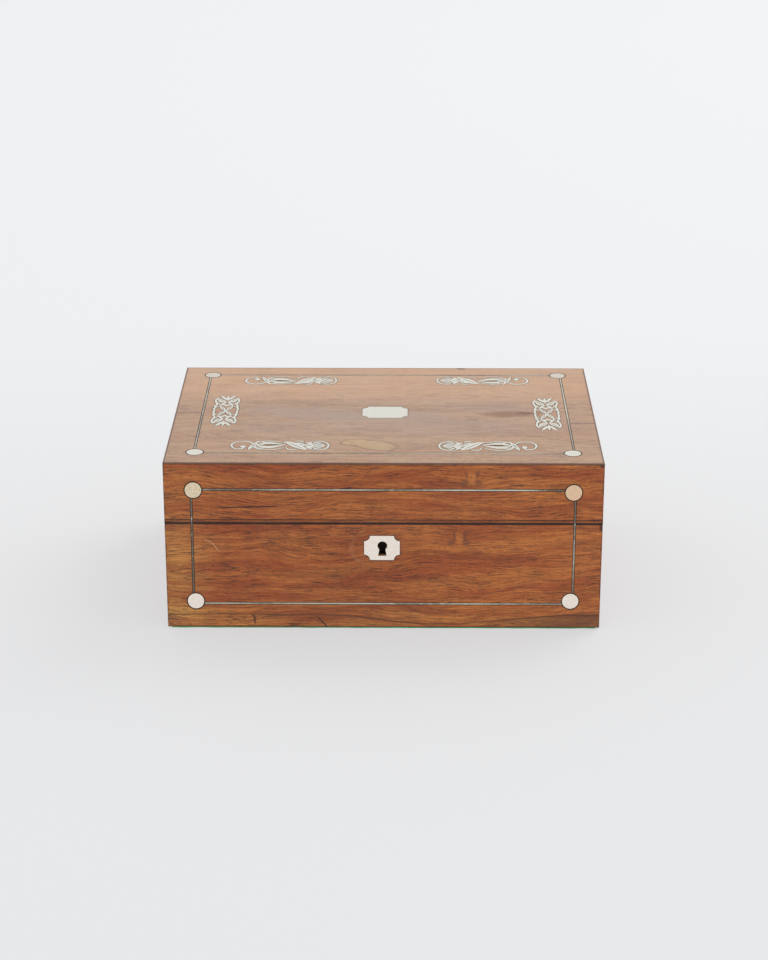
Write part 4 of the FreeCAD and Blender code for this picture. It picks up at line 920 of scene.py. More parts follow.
def top_tint(tree):
    """None on the top but for the back discs; warm where the discs lie on the lid's front."""
    coords = own_place(tree)
    x, y, z = split(tree, coords)
    mottle = grade(tree, cloud(tree, coords, scale=700.0, detail=3.0, rough=0.65), 0.42, 0.60)
    yellow = blend(tree, mottle, YELLOWED, DEEP_YELLOW)
    warm = blend(tree, grade(tree, x, 0.0, 100 * MM), yellow, TAN_PINK)
    tint = blend(tree, grade(tree, y, 74 * MM, 78 * MM), NO_TINT, BACK_DISCS)
    return blend(tree, grade(tree, z, top_z - 8 * MM, top_z - 10 * MM), tint, warm)


front_pearl = shell_material("pearl_front", WARM_SHELL)
top_pearl = shell_material("pearl_top", COOL_SHELL, top_tint)
print("materials", front_pearl.name, "and", top_pearl.name)

# %% [markdown]
# ## White-metal lines and dark filler
# The stringing is soft pewter, hammered into a groove and scraped level, so it is dull grey
# with bright scraped spots. Dark mastic fills the groove beside it and around the shell.

# %% Materials: pewter and mastic
BRIGHT_PEWTER = (0.62, 0.59, 0.49, 1.0)
DULL_PEWTER = (0.16, 0.125, 0.095, 1.0)


def duller_places(tree, coords):
    """Where the lines have gone dark: leftwards, on the front's uprights, by the right disc."""
    x, y, z = split(tree, coords)
    leftwards = grade(tree, x, 80 * MM, -140 * MM, 0.0, 0.25)
    by_disc = grade(tree, x, 98 * MM, 114 * MM, 0.0, 0.6)
    lid_line = times(tree, grade(tree, z, 114 * MM, 112 * MM), grade(tree, z, 88 * MM, 90 * MM))
    left_upright = grade(tree, x, -125 * MM, -127 * MM, 0.0, 0.8)
    right_upright = grade(tree, x, 125 * MM, 127 * MM, 0.0, 0.3)
    on_front_face = grade(tree, y, -99 * MM, -100 * MM)
    uprights = times(tree, calc(tree, "MAXIMUM", left_upright, right_upright), on_front_face)
    places = calc(tree, "ADD", leftwards, times(tree, by_disc, lid_line))
    return calc(tree, "ADD", places, uprights)


def pewter_line():
    """Dull hammered pewter with bright scraped spots."""
    material, tree, shader = new_material("pewter_stringing", Metallic=0.5)
    coords = own_place(tree)
    slow = cloud(tree, coords, scale=14.0, detail=2.0)
    spots = cloud(tree, coords, scale=260.0, detail=3.0, rough=0.6)
    tarnish = calc(tree, "ADD", times(tree, slow, 0.6), times(tree, spots, 0.4))
    age = grade(tree, tarnish, 0.42, 0.62, 0.0, 0.75)
    dull = calc(tree, "ADD", age, duller_places(tree, coords), clamp=True)
    bright_spots = grade(tree, spots, 0.56, 0.64, 0.0, 0.6)
    dull = calc(tree, "SUBTRACT", dull, times(tree, bright_spots, dull))
    colour = blend(tree, dull, BRIGHT_PEWTER, DULL_PEWTER)
    scratches = use_group(tree, handling, {"Scale": 4.0, "Seed": 3.0})["Scratches"]
    colour = blend(tree, times(tree, scratches, 0.5), colour, (0.8, 0.8, 0.78, 1.0))
    rough = grade(tree, tarnish, 0.3, 0.7, 0.35, 0.6)
    wire(tree, shader, Base_Color=colour, Roughness=rough, Normal=relief(tree, spots, 0.00005, 0.4))
    return material


def dark_mastic():
    """Nearly black filler, lumpy and matte."""
    material, tree, shader = new_material("dark_mastic", Specular_IOR_Level=0.2)
    lumps = cloud(tree, stretch(tree, own_place(tree), (900.0, 900.0, 900.0)), detail=4.0)
    colour = blend(tree, lumps, (0.012, 0.008, 0.006, 1.0), (0.055, 0.030, 0.018, 1.0))
    rough = grade(tree, lumps, 0.3, 0.7, 0.6, 0.85)
    wire(tree, shader, Base_Color=colour, Roughness=rough, Normal=relief(tree, lumps, 0.00006, 0.6))
    return material


pewter = pewter_line()
mastic = dark_mastic()
print("materials", pewter.name, "and", mastic.name)

# %% [markdown]
# ## Brass and steel of the movement
# Cock faces and wheels are filed and grained one way, then lacquered. The lacquer has aged in
# spots. One builder makes all the metals: it takes the clean colour, the tarnish colour and how
# strong the grain of the file is.

# %% Materials: metals
FILE_GRAIN = (60.0, 2600.0, 900.0)
SCRATCH_GLINT = (0.9, 0.88, 0.84, 1.0)


def grained_metal(name, clean, tarnished, rough, age):
    """A filed and lacquered metal; age from 0 to 1 says how far the tarnish has spread."""
    material, tree, shader = new_material(name, Metallic=1.0)
    coords = own_place(tree)
    strokes = cloud(tree, stretch(tree, coords, FILE_GRAIN), detail=3.0, rough=0.6)
    scratches = use_group(tree, handling, {"Scale": 2.0, "Seed": age * 10.0})["Scratches"]
    spots = cloud(tree, stretch(tree, coords, (130.0, 130.0, 130.0)), detail=5.0, rough=0.65)
    old = times(tree, grade(tree, spots, 0.42, 0.72), age)
    colour = blend(tree, old, clean, tarnished)
    colour = blend(tree, times(tree, scratches, 0.25), colour, SCRATCH_GLINT)
    dull = calc(tree, "ADD", rough, times(tree, old, 0.3))
    dull = calc(tree, "ADD", dull, times(tree, strokes, 0.10))
    wire(tree, shader, Base_Color=colour, Roughness=dull, Normal=relief(tree, strokes, 0.00002, 0.4))
    return material


brass = grained_metal("lacquered_brass", (0.92, 0.68, 0.29, 1.0), (0.46, 0.27, 0.10, 1.0), 0.24, 0.5)
cast_brass = grained_metal("filed_cast_brass", (0.84, 0.62, 0.28, 1.0), (0.40, 0.26, 0.11, 1.0), 0.38, 0.7)
steel = grained_metal("ground_steel", (0.72, 0.72, 0.73, 1.0), (0.36, 0.31, 0.27, 1.0), 0.27, 0.35)
blued = grained_metal("blued_steel", (0.06, 0.09, 0.22, 1.0), (0.10, 0.06, 0.08, 1.0), 0.2, 0.5)
lead = grained_metal("dull_lead", (0.22, 0.23, 0.25, 1.0), (0.40, 0.40, 0.39, 1.0), 0.5, 0.9)
print("metals:", brass.name, cast_brass.name, steel.name, blued.name, lead.name)

# %% [markdown]
# ## The lock's brass
# A lock is oiled for two centuries and never washed. Its plate stays brass, but what can be seen
# through the keyhole is black. One mask, from how deep a point lies behind the front, turns the
# brass into old oil, so the keyhole reads as a dark hole without any trick of light.

# %% Material: the lock
KEYHOLE_SHADE_FROM = -91.2 * MM
LOCK_TOP = 77.4 * MM


def lock_with_painted_keyhole_shade():
    """Brass outside; inside the keyhole everything is painted black, a painted shade."""
    material, tree, shader = new_material("lock_brass_painted_keyhole_shade", Specular_IOR_Level=0.2)
    coords = own_place(tree)
    _, y, z = split(tree, coords)
    # painted shade: behind the front and below the lock's top the brass turns matte near-black
    deep = grade(tree, y, KEYHOLE_SHADE_FROM, KEYHOLE_SHADE_FROM - 0.4 * MM)
    inside = times(tree, deep, grade(tree, z, LOCK_TOP, LOCK_TOP - 0.4 * MM))
    grime = cloud(tree, coords, scale=420.0, detail=4.0)
    black = blend(tree, grime, (0.006, 0.004, 0.003, 1.0), (0.030, 0.017, 0.010, 1.0))
    metal = blend(tree, grade(tree, grime, 0.4, 0.65), (0.62, 0.43, 0.18, 1.0), (0.36, 0.22, 0.09, 1.0))
    wire(tree, shader, Base_Color=blend(tree, inside, metal, black),
         Metallic=calc(tree, "SUBTRACT", 1.0, inside),
         Roughness=grade(tree, grime, 0.3, 0.7, 0.34, 0.6),
         Normal=relief(tree, grime, 0.00004, 0.5))
    return material


lock_brass = lock_with_painted_keyhole_shade()
print("material", lock_brass.name)

# %% [markdown]
# ## Old window glass
# The pane over the movement is drawn glass with long shallow ripples. Its transmission is a plain
# value on the shader; only a faint haze of fingerprints and the ripples vary over it.

# %% Material: old window glass
def old_glass():
    """Clear glass, barely green, with ripples a hand's breadth long."""
    material, tree, shader = new_material("old_glass", Metallic=0.0, Transmission_Weight=1.0, IOR=1.5)
    shader.inputs["Base Color"].default_value = (0.96, 0.985, 0.975, 1.0)
    ripple = cloud(tree, stretch(tree, own_place(tree), (18.0, 9.0, 9.0)), detail=1.0)
    haze = use_group(tree, handling, {"Scale": 1.0, "Seed": 8.0})["Haze"]
    wire(tree, shader, Roughness=times(tree, haze, 0.02), Normal=relief(tree, ripple, 0.0004, 0.3))
    return material


glass = old_glass()
print("material", glass.name)

# %% [markdown]
# ## Cloth: baize, velvet and silk
# Baize is felted wool, matte with loose fibres. Velvet is a short pile that darkens face-on and
# lights at its edges, which sheen gives. Silk has a fine weave and a soft gloss. One weave group
# serves all three.

# %% Group: woven threads
def build_weave():
    """Warp and weft as two crossed waves, with a fuzz of loose fibres."""
    inputs = {"Threads": 900.0, "Wander": 0.3}
    tree, given, out = new_group("woven_threads", inputs, {"Height": "Float", "Fuzz": "Float"})
    coords = own_place(tree)
    x, y, _ = split(tree, coords)
    shift = times(tree, cloud(tree, coords, scale=90.0, detail=2.0), given["Wander"])
    warp = calc(tree, "SINE", calc(tree, "ADD", times(tree, x, given["Threads"]), shift))
    weft = calc(tree, "SINE", calc(tree, "ADD", times(tree, y, given["Threads"]), shift))
    fuzz = cloud(tree, coords, scale=1500.0, detail=3.0)
    give(tree, out, {"Height": times(tree, warp, weft), "Fuzz": fuzz})
    return tree


weave = build_weave()
print("group", weave.name)

# %% [markdown]
# ## The three cloths
# One builder makes them all. It takes the two ends of the colour, how rough and how sheeny the
# cloth is, how many threads it has, and how deep they stand.

# %% Materials: cloths
def cloth(name, colours, rough, sheen, threads, depth):
    """A cloth between two colours; threads is per metre, and depth is in metres."""
    base, lit = colours
    material, tree, shader = new_material(
        name, Sheen_Weight=sheen, Sheen_Roughness=0.4, Specular_IOR_Level=0.2
    )
    thread = use_group(tree, weave, {"Threads": threads, "Wander": 3.0})
    nap = cloud(tree, own_place(tree), scale=38.0, detail=4.0, rough=0.6)
    colour = blend(tree, grade(tree, nap, 0.35, 0.7), base, lit)
    colour = blend(tree, times(tree, thread["Fuzz"], 0.35), colour, lit)
    height = calc(tree, "ADD", thread["Height"], thread["Fuzz"])
    wire(tree, shader, Base_Color=colour, Normal=relief(tree, height, depth, 0.6),
         Roughness=grade(tree, nap, 0.3, 0.7, rough, rough + 0.1))
    return material


BAIZE_GREENS = ((0.012, 0.250, 0.075, 1.0), (0.040, 0.440, 0.160, 1.0))
VELVET_REDS = ((0.085, 0.006, 0.014, 1.0), (0.20, 0.018, 0.035, 1.0))
SILK_REDS = ((0.16, 0.010, 0.022, 1.0), (0.26, 0.024, 0.045, 1.0))
baize = cloth("green_baize", BAIZE_GREENS, 0.88, 0.3, 2400.0, 0.0002)
velvet = cloth("crimson_velvet", VELVET_REDS, 0.8, 1.0, 5200.0, 0.00012)
silk = cloth("crimson_silk", SILK_REDS, 0.42, 0.4, 4200.0, 0.00005)
print("cloths:", baize.name, velvet.name, silk.name)

# %% [markdown]
# ## Dress the engineering model
# Each node of the frame gets the finish of its own piece. The shapes and places stay as the
# model has them; only the material slots change.

# %% Give every node its finish
FINISHES = {
    case_wood: ["body_veneer", "lid_veneer", "lid_edging"],
    top_wood: ["lid_top_veneer"],
    carcass_wood: [
        "base_board", "body_front_board", "body_back_board", "body_side_boards", "partition_front",
        "partition_sides", "lid_top_board", "lid_front_board", "lid_back_board", "lid_side_boards",
    ],
    moulding_wood: ["glass_frame", "lid_lining_frame"],
    front_pearl: ["body_discs", "keyhole_escutcheon"],
    top_pearl: ["lid_pearl"],
    pewter: ["body_stringing", "lid_stringing"],
    lock_brass: ["lock_case", "lock_bolt"],
    brass: [
        "hinge_body_leaves", "hinge_lid_leaves", "wood_screws", "hinge_lid_screws",
        "lid_link_plate", "winding_plate", "cylinder_barrel", "cylinder_great_wheel", "barrel_drum",
        "barrel_great_wheel", "governor_wheel", "fly", "stop_lever", "winding_key",
    ],
    steel: [
        "hinge_pins", "comb", "winding_arbor", "ratchet_wheel", "cylinder_arbor",
        "cylinder_pins", "worm_spindle", "click",
    ],
    blued: ["movement_screws", "mainspring", "click_spring"],
    cast_brass: [
        "bedplate", "bedplate_feet", "bearing_cocks", "governor_frame", "comb_base", "stop_lever_post",
    ],
    lead: ["comb_leads"],
    glass: ["glass_pane"],
}


def dress(node_object, material):
    """Change what a node is finished with, and nothing else about it."""
    node_object.data.materials.clear()
    node_object.data.materials.append(material)


for finish, names in FINISHES.items():
    for name in names:
        dress(nodes[name], finish)
print("dressed", sum(len(names) for names in FINISHES.values()), "nodes")

# %% [markdown]
# ## Helpers that build meshes
# A new piece starts as plain lists of points and faces. These helpers turn them into an object
# that rides on a body of the frame and takes a finish.

# %% Mesh helpers
def new_piece(name, points, faces, material, body, slot):
    """A mesh object in metres, riding on a body."""
    mesh = bpy.data.meshes.new(name)
    mesh.from_pydata([tuple(point) for point in points], [], faces)
    builder = bmesh.new()
    builder.from_mesh(mesh)
    bmesh.ops.recalc_face_normals(builder, faces=builder.faces)
    builder.to_mesh(mesh)
    builder.free()
    mesh.materials.append(material)
    piece = bpy.data.objects.new(name, mesh)
    bpy.context.collection.objects.link(piece)
    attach(piece, body)
    return piece


def slab(outline, low, high, lay):
    """A closed plate from a flat outline; lay turns (a, b, height) into a point."""
    count = len(outline)
    points = [lay(a, b, low) for a, b in outline] + [lay(a, b, high) for a, b in outline]
    faces = [tuple(range(count)), tuple(range(count, 2 * count))]
    faces += [(i, (i + 1) % count, count + (i + 1) % count, count + i) for i in range(count)]
    return points, faces


def hoop(inner, outer, low, high, lay):
    """A closed ring between two outlines with the same number of points."""
    count = len(inner)
    points = []
    for outline in (inner, outer):
        for height in (low, high):
            points += [lay(a, b, height) for a, b in outline]
    faces = []
    for i in range(count):
        j = (i + 1) % count
        faces.append((i, j, count + j, count + i))
        faces.append((2 * count + i, 2 * count + j, 3 * count + j, 3 * count + i))
        faces.append((count + i, count + j, 3 * count + j, 3 * count + i))
        faces.append((i, j, 2 * count + j, 2 * count + i))
    return points, faces


def merged(parts):
    """Several (points, faces) lists as one."""
    points, faces = [], []
    for some_points, some_faces in parts:
        start = len(points)
        points += some_points
        faces += [tuple(start + index for index in face) for face in some_faces]
    return points, faces


def on_front(a, b, height):
    """Millimetres on the front sheet; height counts outwards from its face."""
    return Vector((a * MM, cad_box[0][1] - height * MM, b * MM))


def on_top(a, b, height):
    """Millimetres on the lid's top; height counts upwards from the wood."""
    return Vector((a * MM, b * MM, top_z + height * MM))


print("mesh helpers ready")

# %% [markdown]
# ## Dark filler around the inlay
# Every piece of shell and every metal line sits in a groove slightly too big for it. The gap is
# filled with dark mastic, which has shrunk a little below the surface. The rings and strips here
# fill the grooves that the model cut.

# %% Outlines of the inlay
def circle(centre, radius, count=40):
    """Points round a circle."""
    turns = [2 * math.pi * i / count for i in range(count)]
    return [(centre[0] + radius * math.cos(turn), centre[1] + radius * math.sin(turn)) for turn in turns]


def notched(centre, size, bite, grow=0.0, steps=8):
    """A rectangle whose corners are bitten by quarter circles; every second one runs backwards."""
    half = (size[0] / 2 + grow, size[1] / 2 + grow)
    outline = []
    for corner, (i, j) in enumerate(((1, 1), (-1, 1), (-1, -1), (1, -1))):
        for step in range(steps + 1):
            turn = step / steps * math.pi / 2
            a, b = math.cos(turn), math.sin(turn)
            if corner % 2:
                a, b = b, a
            outline.append((centre[0] + i * (half[0] - bite * b), centre[1] + j * (half[1] - bite * a)))
    return outline


def middle_and_size(node, axes):
    """The middle and the two sides of a node's box, in millimetres."""
    low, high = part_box(node)
    centre = [(low[axis] + high[axis]) / 2 / MM for axis in axes]
    return centre, [(high[axis] - low[axis]) / MM for axis in axes]


print("outlines ready")

# %% [markdown]
# ## Sizes of the grooves
# The grooves follow the inlay that the model holds, so their places repeat its own. Filler sits a
# little below the wood, and a skin of it thinner than paper is smeared over the edge, which gives
# each disc its soft dark rim.


# %% Sizes and places of the inlay, in millimetres
DISC = 5.65
GAP = 0.35
SMEAR = 0.42
LINE_HALF = 0.5
LINE_SMEAR = 0.1
PLATE_NOTCH = 4.0
PLATE_GAP = 0.25
PLATE_SMEAR = 0.12
SUNK = -0.06
SKIN = 0.012
BED = -0.95
FRONT_X = (-131.3, 130.8)
FRONT_Z = (19.0, 103.7)
BODY_DISCS = [(-130.0, 20.7), (129.3, 21.2)]
LID_DISCS = [(-129.8, 103.2), (129.5, 102.0)]
TOP_X = (-130.3, 130.7)
TOP_Y = (-82.0, 83.8)
TOP_DISCS = [(-129.0, 83.3), (129.0, 83.7), (-129.7, -80.2), (129.5, -81.0)]
CARTOUCHE = ((0.4, 1.6), (32.5, 23.8))
body_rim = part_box("body_veneer")[1][2] / MM
lid_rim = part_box("lid_edging")[0][2] / MM
print("disc radius", DISC, "mm, filler gap", GAP, "mm, smeared", SMEAR, "mm past it")

# %% [markdown]
# ## Rings and strips of filler
# Round a disc the filler is a hoop, beside a line it is a pair of strips, and round a plate it
# follows the bitten corners. Each is a closed solid, so that it has an honest edge in any light.

# %% Shapes of the filler
def disc_rings(discs, lay):
    """Filler round each disc, and the thin skin that was smeared over the wood."""
    parts = []
    for disc in discs:
        parts.append(hoop(circle(disc, DISC), circle(disc, DISC + GAP), BED, SUNK, lay))
        parts.append(hoop(circle(disc, DISC + GAP), circle(disc, DISC + GAP + SMEAR), 0.0, SKIN, lay))
    return parts


def strip(start, end, near, far):
    """The outline of a strip beside a line, between two distances from its middle."""
    along = (end[0] - start[0], end[1] - start[1])
    length = math.hypot(*along)
    side = (-along[1] / length, along[0] / length)
    corners = ((start, near), (end, near), (end, far), (start, far))
    return [(point[0] + side[0] * away, point[1] + side[1] * away) for point, away in corners]


def line_sides(start, end, lay):
    """Filler each side of a metal line, and its thin skin on the wood."""
    groove = LINE_HALF + GAP
    parts = []
    for sign in (-1, 1):
        parts.append(slab(strip(start, end, sign * LINE_HALF, sign * groove), BED, SUNK, lay))
        parts.append(slab(strip(start, end, sign * groove, sign * (groove + LINE_SMEAR)), 0.0, SKIN, lay))
    return parts


def plate_rim(centre, size, lay):
    """Filler and skin round a plate with bitten corners."""
    inner = notched(centre, size, PLATE_NOTCH)
    edge = notched(centre, size, PLATE_NOTCH, PLATE_GAP)
    outer = notched(centre, size, PLATE_NOTCH, PLATE_GAP + PLATE_SMEAR)
    return [hoop(inner, edge, BED, SUNK, lay), hoop(edge, outer, 0.0, SKIN, lay)]


print("filler shapes ready")

# %% [markdown]
# ## Three pieces of filler
# The filler of the body stays with the body, and that of the lid's front and top opens with the
# lid. So the joint between them is also where the upright lines stop.


# %% Fill the grooves
REACH = DISC + GAP - 0.3


def level_sides(left, right, height, lay):
    """Filler beside a level line that runs between two discs."""
    return line_sides((left[0] + REACH, height), (right[0] - REACH, height), lay)


def body_filler():
    """Discs, lines and keyhole plate of the body's front."""
    parts = disc_rings(BODY_DISCS, on_front)
    for x, disc in zip(FRONT_X, BODY_DISCS):
        parts += line_sides((x, disc[1] + REACH), (x, body_rim), on_front)
    parts += level_sides(*BODY_DISCS, FRONT_Z[0], on_front)
    return parts + plate_rim(*middle_and_size("keyhole_escutcheon", (0, 2)), on_front)


def lid_front_filler():
    """Discs and lines of the lid's front."""
    parts = disc_rings(LID_DISCS, on_front)
    for x, disc in zip(FRONT_X, LID_DISCS):
        parts += line_sides((x, lid_rim), (x, disc[1] - REACH), on_front)
    return parts + level_sides(*LID_DISCS, FRONT_Z[1], on_front)


def lid_top_filler():
    """Discs, lines and cartouche of the top."""
    back_left, back_right, front_left, front_right = TOP_DISCS
    parts = disc_rings(TOP_DISCS, on_top)
    for x, back, front in zip(TOP_X, (back_left, back_right), (front_left, front_right)):
        parts += line_sides((x, front[1] + REACH), (x, back[1] - REACH), on_top)
    parts += level_sides(front_left, front_right, TOP_Y[0], on_top)
    parts += level_sides(back_left, back_right, TOP_Y[1], on_top)
    return parts + plate_rim(*CARTOUCHE, on_top)


new_piece("mastic_body_front", *merged(body_filler()), mastic, "root", "pewter")
new_piece("mastic_lid_front", *merged(lid_front_filler()), mastic, "lid", "pewter")
new_piece("mastic_lid_top", *merged(lid_top_filler()), mastic, "lid", "pewter")
print("filler laid in three pieces")

# %% [markdown]
# ## Leafy scrolls of shell
# The scrolls were fretted from thin shell with a piercing saw, then laid leaf by leaf. Each is
# drawn here as brush strokes: a smooth path with a width that swells and tapers, which is how
# the pattern would be sketched. A slightly wider dark stroke below shows as the mastic outline.

# %% A stroke becomes an outline
BOLD = 1.12
THINNEST = 0.12


def catmull(a, b, c, d, t):
    """One number of a Catmull-Rom curve, between b and c."""
    squared = 2 * a - 5 * b + 4 * c - d
    cubed = 3 * b - a - 3 * c + d
    return 0.5 * (2 * b + (c - a) * t + squared * t * t + cubed * t ** 3)


def smooth_path(knots, steps=7):
    """A smooth curve through the points, with (x, y, width) at each."""
    ends = [knots[0]] + list(knots) + [knots[-1]]
    path = []
    for i in range(len(ends) - 3):
        four = ends[i:i + 4]
        for step in range(steps):
            path.append(tuple(catmull(*numbers, step / steps) for numbers in zip(*four)))
    path.append(tuple(knots[-1]))
    return path


def stroke_outline(knots, grow=0.0):
    """Both sides of a brush stroke, as one closed outline."""
    path = smooth_path(knots)
    left, right = [], []
    for i, (x, y, width) in enumerate(path):
        before, after = path[max(i - 1, 0)], path[min(i + 1, len(path) - 1)]
        dx, dy = after[0] - before[0], after[1] - before[1]
        length = math.hypot(dx, dy) or 1.0
        half = max(width, THINNEST) * BOLD / 2 + grow
        left.append((x - dy / length * half, y + dx / length * half))
        right.append((x + dy / length * half, y - dx / length * half))
    return left + right[::-1]


print("strokes ready")

# %% [markdown]
# ## The long scroll
# Four long scrolls lie near the front and back edges, in mirrored pairs. From left to right each
# has a curled tendril with a bulb, an open pod, a slanting leaf and a flower. A stroke is a list
# of (x, y, width) in millimetres from the scroll's own middle. Veins are thin dark strokes that
# stand for the graver's cuts, filled with mastic.

# %% Strokes of the long scroll
LONG_STROKES = [
    [(-18.6, -3.4, 1.0), (-21.4, -7.0, 1.5), (-26.0, -8.3, 1.2), (-31.0, -6.4, 1.3), (-33.4, -1.4, 1.5),
     (-32.4, 3.8, 1.3), (-29.2, 7.0, 1.3), (-25.6, 6.0, 1.5), (-24.8, 2.8, 1.2)],
    [(-21.4, 8.6, 0.5), (-20.2, 4.4, 2.4), (-18.4, 0.0, 3.0), (-17.0, -4.4, 2.2), (-15.4, -8.8, 0.4)],
    [(-18.2, 1.0, 0.8), (-14.8, 5.0, 3.4), (-10.4, 5.6, 0.5)],
    [(-15.6, 7.6, 0.5), (-9.0, 8.5, 1.1), (-2.0, 7.4, 1.1), (3.4, 3.6, 0.5)],
    [(-16.0, -6.0, 0.5), (-11.0, -8.3, 1.1), (-4.0, -8.0, 1.1), (3.4, -5.4, 0.5)],
    [(-16.2, -0.8, 0.6), (-10.5, 2.6, 3.6), (-5.0, 2.5, 3.5), (4.2, -1.8, 0.3)],
    [(-16.2, -0.8, 0.6), (-10.5, -4.2, 3.0), (-5.0, -4.4, 3.0), (4.2, -1.8, 0.3)],
    [(2.4, -7.4, 0.5), (6.6, -5.0, 4.4), (11.0, -0.4, 6.2), (15.4, 4.6, 4.4), (19.0, 8.6, 0.5)],
    [(9.4, -3.4, 0.8), (13.2, -4.6, 2.3), (17.2, -1.4, 0.5)],
    [(10.0, -6.4, 0.5), (11.8, -8.6, 1.1), (15.0, -8.3, 1.3), (16.2, -5.6, 0.6)],
    [(4.4, 2.0, 0.5), (5.6, 6.6, 1.3), (9.4, 8.4, 1.3), (12.4, 6.6, 0.6)],
    [(14.6, -1.4, 0.5), (18.2, -0.8, 4.4), (21.6, 0.0, 8.6), (23.4, 0.0, 1.6)],
    [(-13.6, -1.6, 1.1), (-16.2, -2.6, 1.2), (-17.0, -5.0, 1.2), (-14.9, -7.4, 1.2), (-12.0, -7.2, 1.2),
     (-10.4, -4.8, 1.2), (-11.2, -2.4, 1.2), (-13.2, -1.6, 1.1)],
    [(17.6, 5.4, 0.5), (20.2, 4.6, 2.4), (22.6, 7.6, 0.5)],
    [(17.4, -6.2, 0.5), (20.0, -5.2, 2.4), (22.4, -8.0, 0.5)],
    [(21.9, 8.3, 0.5), (27.0, 8.8, 1.2), (31.8, 5.9, 1.3), (33.7, 0.0, 1.4), (31.8, -6.0, 1.3),
     (27.0, -8.8, 1.2), (21.9, -8.1, 0.5)],
    [(22.8, 3.0, 0.6), (25.0, 5.8, 2.0), (29.0, 5.8, 0.4)],
    [(22.8, -3.2, 0.6), (25.0, -5.9, 2.0), (29.0, -5.8, 0.4)],
    [(23.2, 0.0, 1.2), (25.8, 0.0, 7.2), (28.4, 0.0, 7.0), (31.2, 0.0, 1.0)],
]
BULB = ((-25.2, 2.2), 2.1)
LONG_VEINS = [
    [(-13.5, -0.9, 0.3), (-8.0, -0.9, 0.7), (-1.0, -1.5, 0.3)],
    [(6.0, -5.0, 0.2), (11.0, 0.0, 0.45), (16.0, 5.4, 0.2)],
    [(16.6, -0.9, 0.2), (19.2, -0.5, 0.5), (22.0, 0.0, 0.2)],
    [(24.2, 0.0, 0.2), (27.0, 0.0, 0.45), (30.0, 0.0, 0.2)],
    [(24.8, 1.3, 0.2), (27.0, 2.1, 0.4), (29.2, 2.0, 0.2)],
    [(24.8, -1.3, 0.2), (27.0, -2.1, 0.4), (29.2, -2.0, 0.2)],
    [(-19.4, 3.4, 0.2), (-18.3, -0.2, 0.45), (-17.2, -4.0, 0.2)],
    [(-16.4, 3.2, 0.2), (-14.4, 4.8, 0.4), (-12.0, 5.2, 0.2)],
]
print("long scroll:", len(LONG_STROKES), "pieces of shell")

# %% [markdown]
# ## The side scroll
# The scroll at each end is the same in all four quarters, so only one quarter is drawn, with the
# three strokes that lie on its middle line.


# %% Strokes of the side scroll
QUARTER_STROKES = [
    [(0.4, 0.8, 0.8), (2.8, 5.0, 2.9), (5.4, 10.0, 0.8)],
    [(5.6, 9.6, 0.5), (8.6, 7.6, 1.3), (9.9, 3.0, 1.5), (9.0, 0.3, 1.3)],
    [(9.6, 17.2, 0.6), (8.2, 13.0, 1.3), (9.6, 9.0, 1.5), (8.9, 6.0, 0.5)],
    [(3.4, 11.6, 0.5), (1.6, 12.0, 2.2), (0.0, 9.4, 0.5)],
    [(5.2, 10.4, 0.8), (3.2, 14.2, 2.0), (0.8, 17.8, 0.8)],
    [(0.8, 18.0, 0.8), (4.4, 20.4, 4.4), (8.6, 26.8, 0.6)],
    [(8.8, 26.6, 0.8), (9.8, 22.4, 1.5), (9.0, 17.4, 1.4), (6.8, 14.6, 1.2), (5.6, 12.2, 0.6)],
    [(1.8, 23.4, 0.5), (3.6, 28.0, 2.4), (6.4, 32.4, 0.4)],
]
MIDDLE_STROKES = [
    [(0.0, 21.6, 0.6), (0.0, 26.0, 2.6), (0.0, 31.6, 0.4)],
    [(0.0, -21.6, 0.6), (0.0, -26.0, 2.6), (0.0, -31.6, 0.4)],
    [(0.0, -2.6, 0.5), (0.0, 0.0, 2.4), (0.0, 2.6, 0.5)],
]
QUARTER_VEINS = [
    [(1.6, 3.0, 0.2), (2.8, 5.2, 0.4), (4.2, 7.8, 0.2)],
    [(2.4, 19.4, 0.2), (4.6, 21.2, 0.4), (7.4, 25.0, 0.2)],
]


def mirrored(strokes):
    """The strokes of one quarter, in all four quarters."""
    copies = []
    for flip_x in (-1, 1):
        for flip_y in (-1, 1):
            for stroke in strokes:
                copies.append([(x * flip_x, y * flip_y, width) for x, y, width in stroke])
    return copies


SIDE_STROKES = MIDDLE_STROKES + mirrored(QUARTER_STROKES)
SIDE_VEINS = mirrored(QUARTER_VEINS)
print("side scroll:", len(SIDE_STROKES), "pieces of shell")

# %% [markdown]
# ## Laying the six scrolls
# Every stroke becomes a thin plate. Where two cross, equal heights would flicker, so each plate
# is a hair higher than the one before. The mastic is the same strokes grown by a third of a
# millimetre and set lower, so it shows only as a rim.

# %% Lay the scrolls on the lid
RIM = 0.38
SHELL_HIGH = 0.07
SHELL_STEP = 0.009
RIM_HIGH = 0.01
RIM_STEP = 0.004
VEINS_HIGH = 0.115
BULB_HIGH = 0.085
BULB_POINTS = 20


def scroll_parts(strokes, centre, size, grow, high, step):
    """The strokes of one scroll as thin plates, each a hair higher than the last."""
    parts = []
    for number, stroke in enumerate(strokes):
        placed = [(centre[0] + x * size[0], centre[1] + y * size[1], width) for x, y, width in stroke]
        parts.append(slab(stroke_outline(placed, grow), SUNK, high + step * (number % 5), on_top))
    return parts


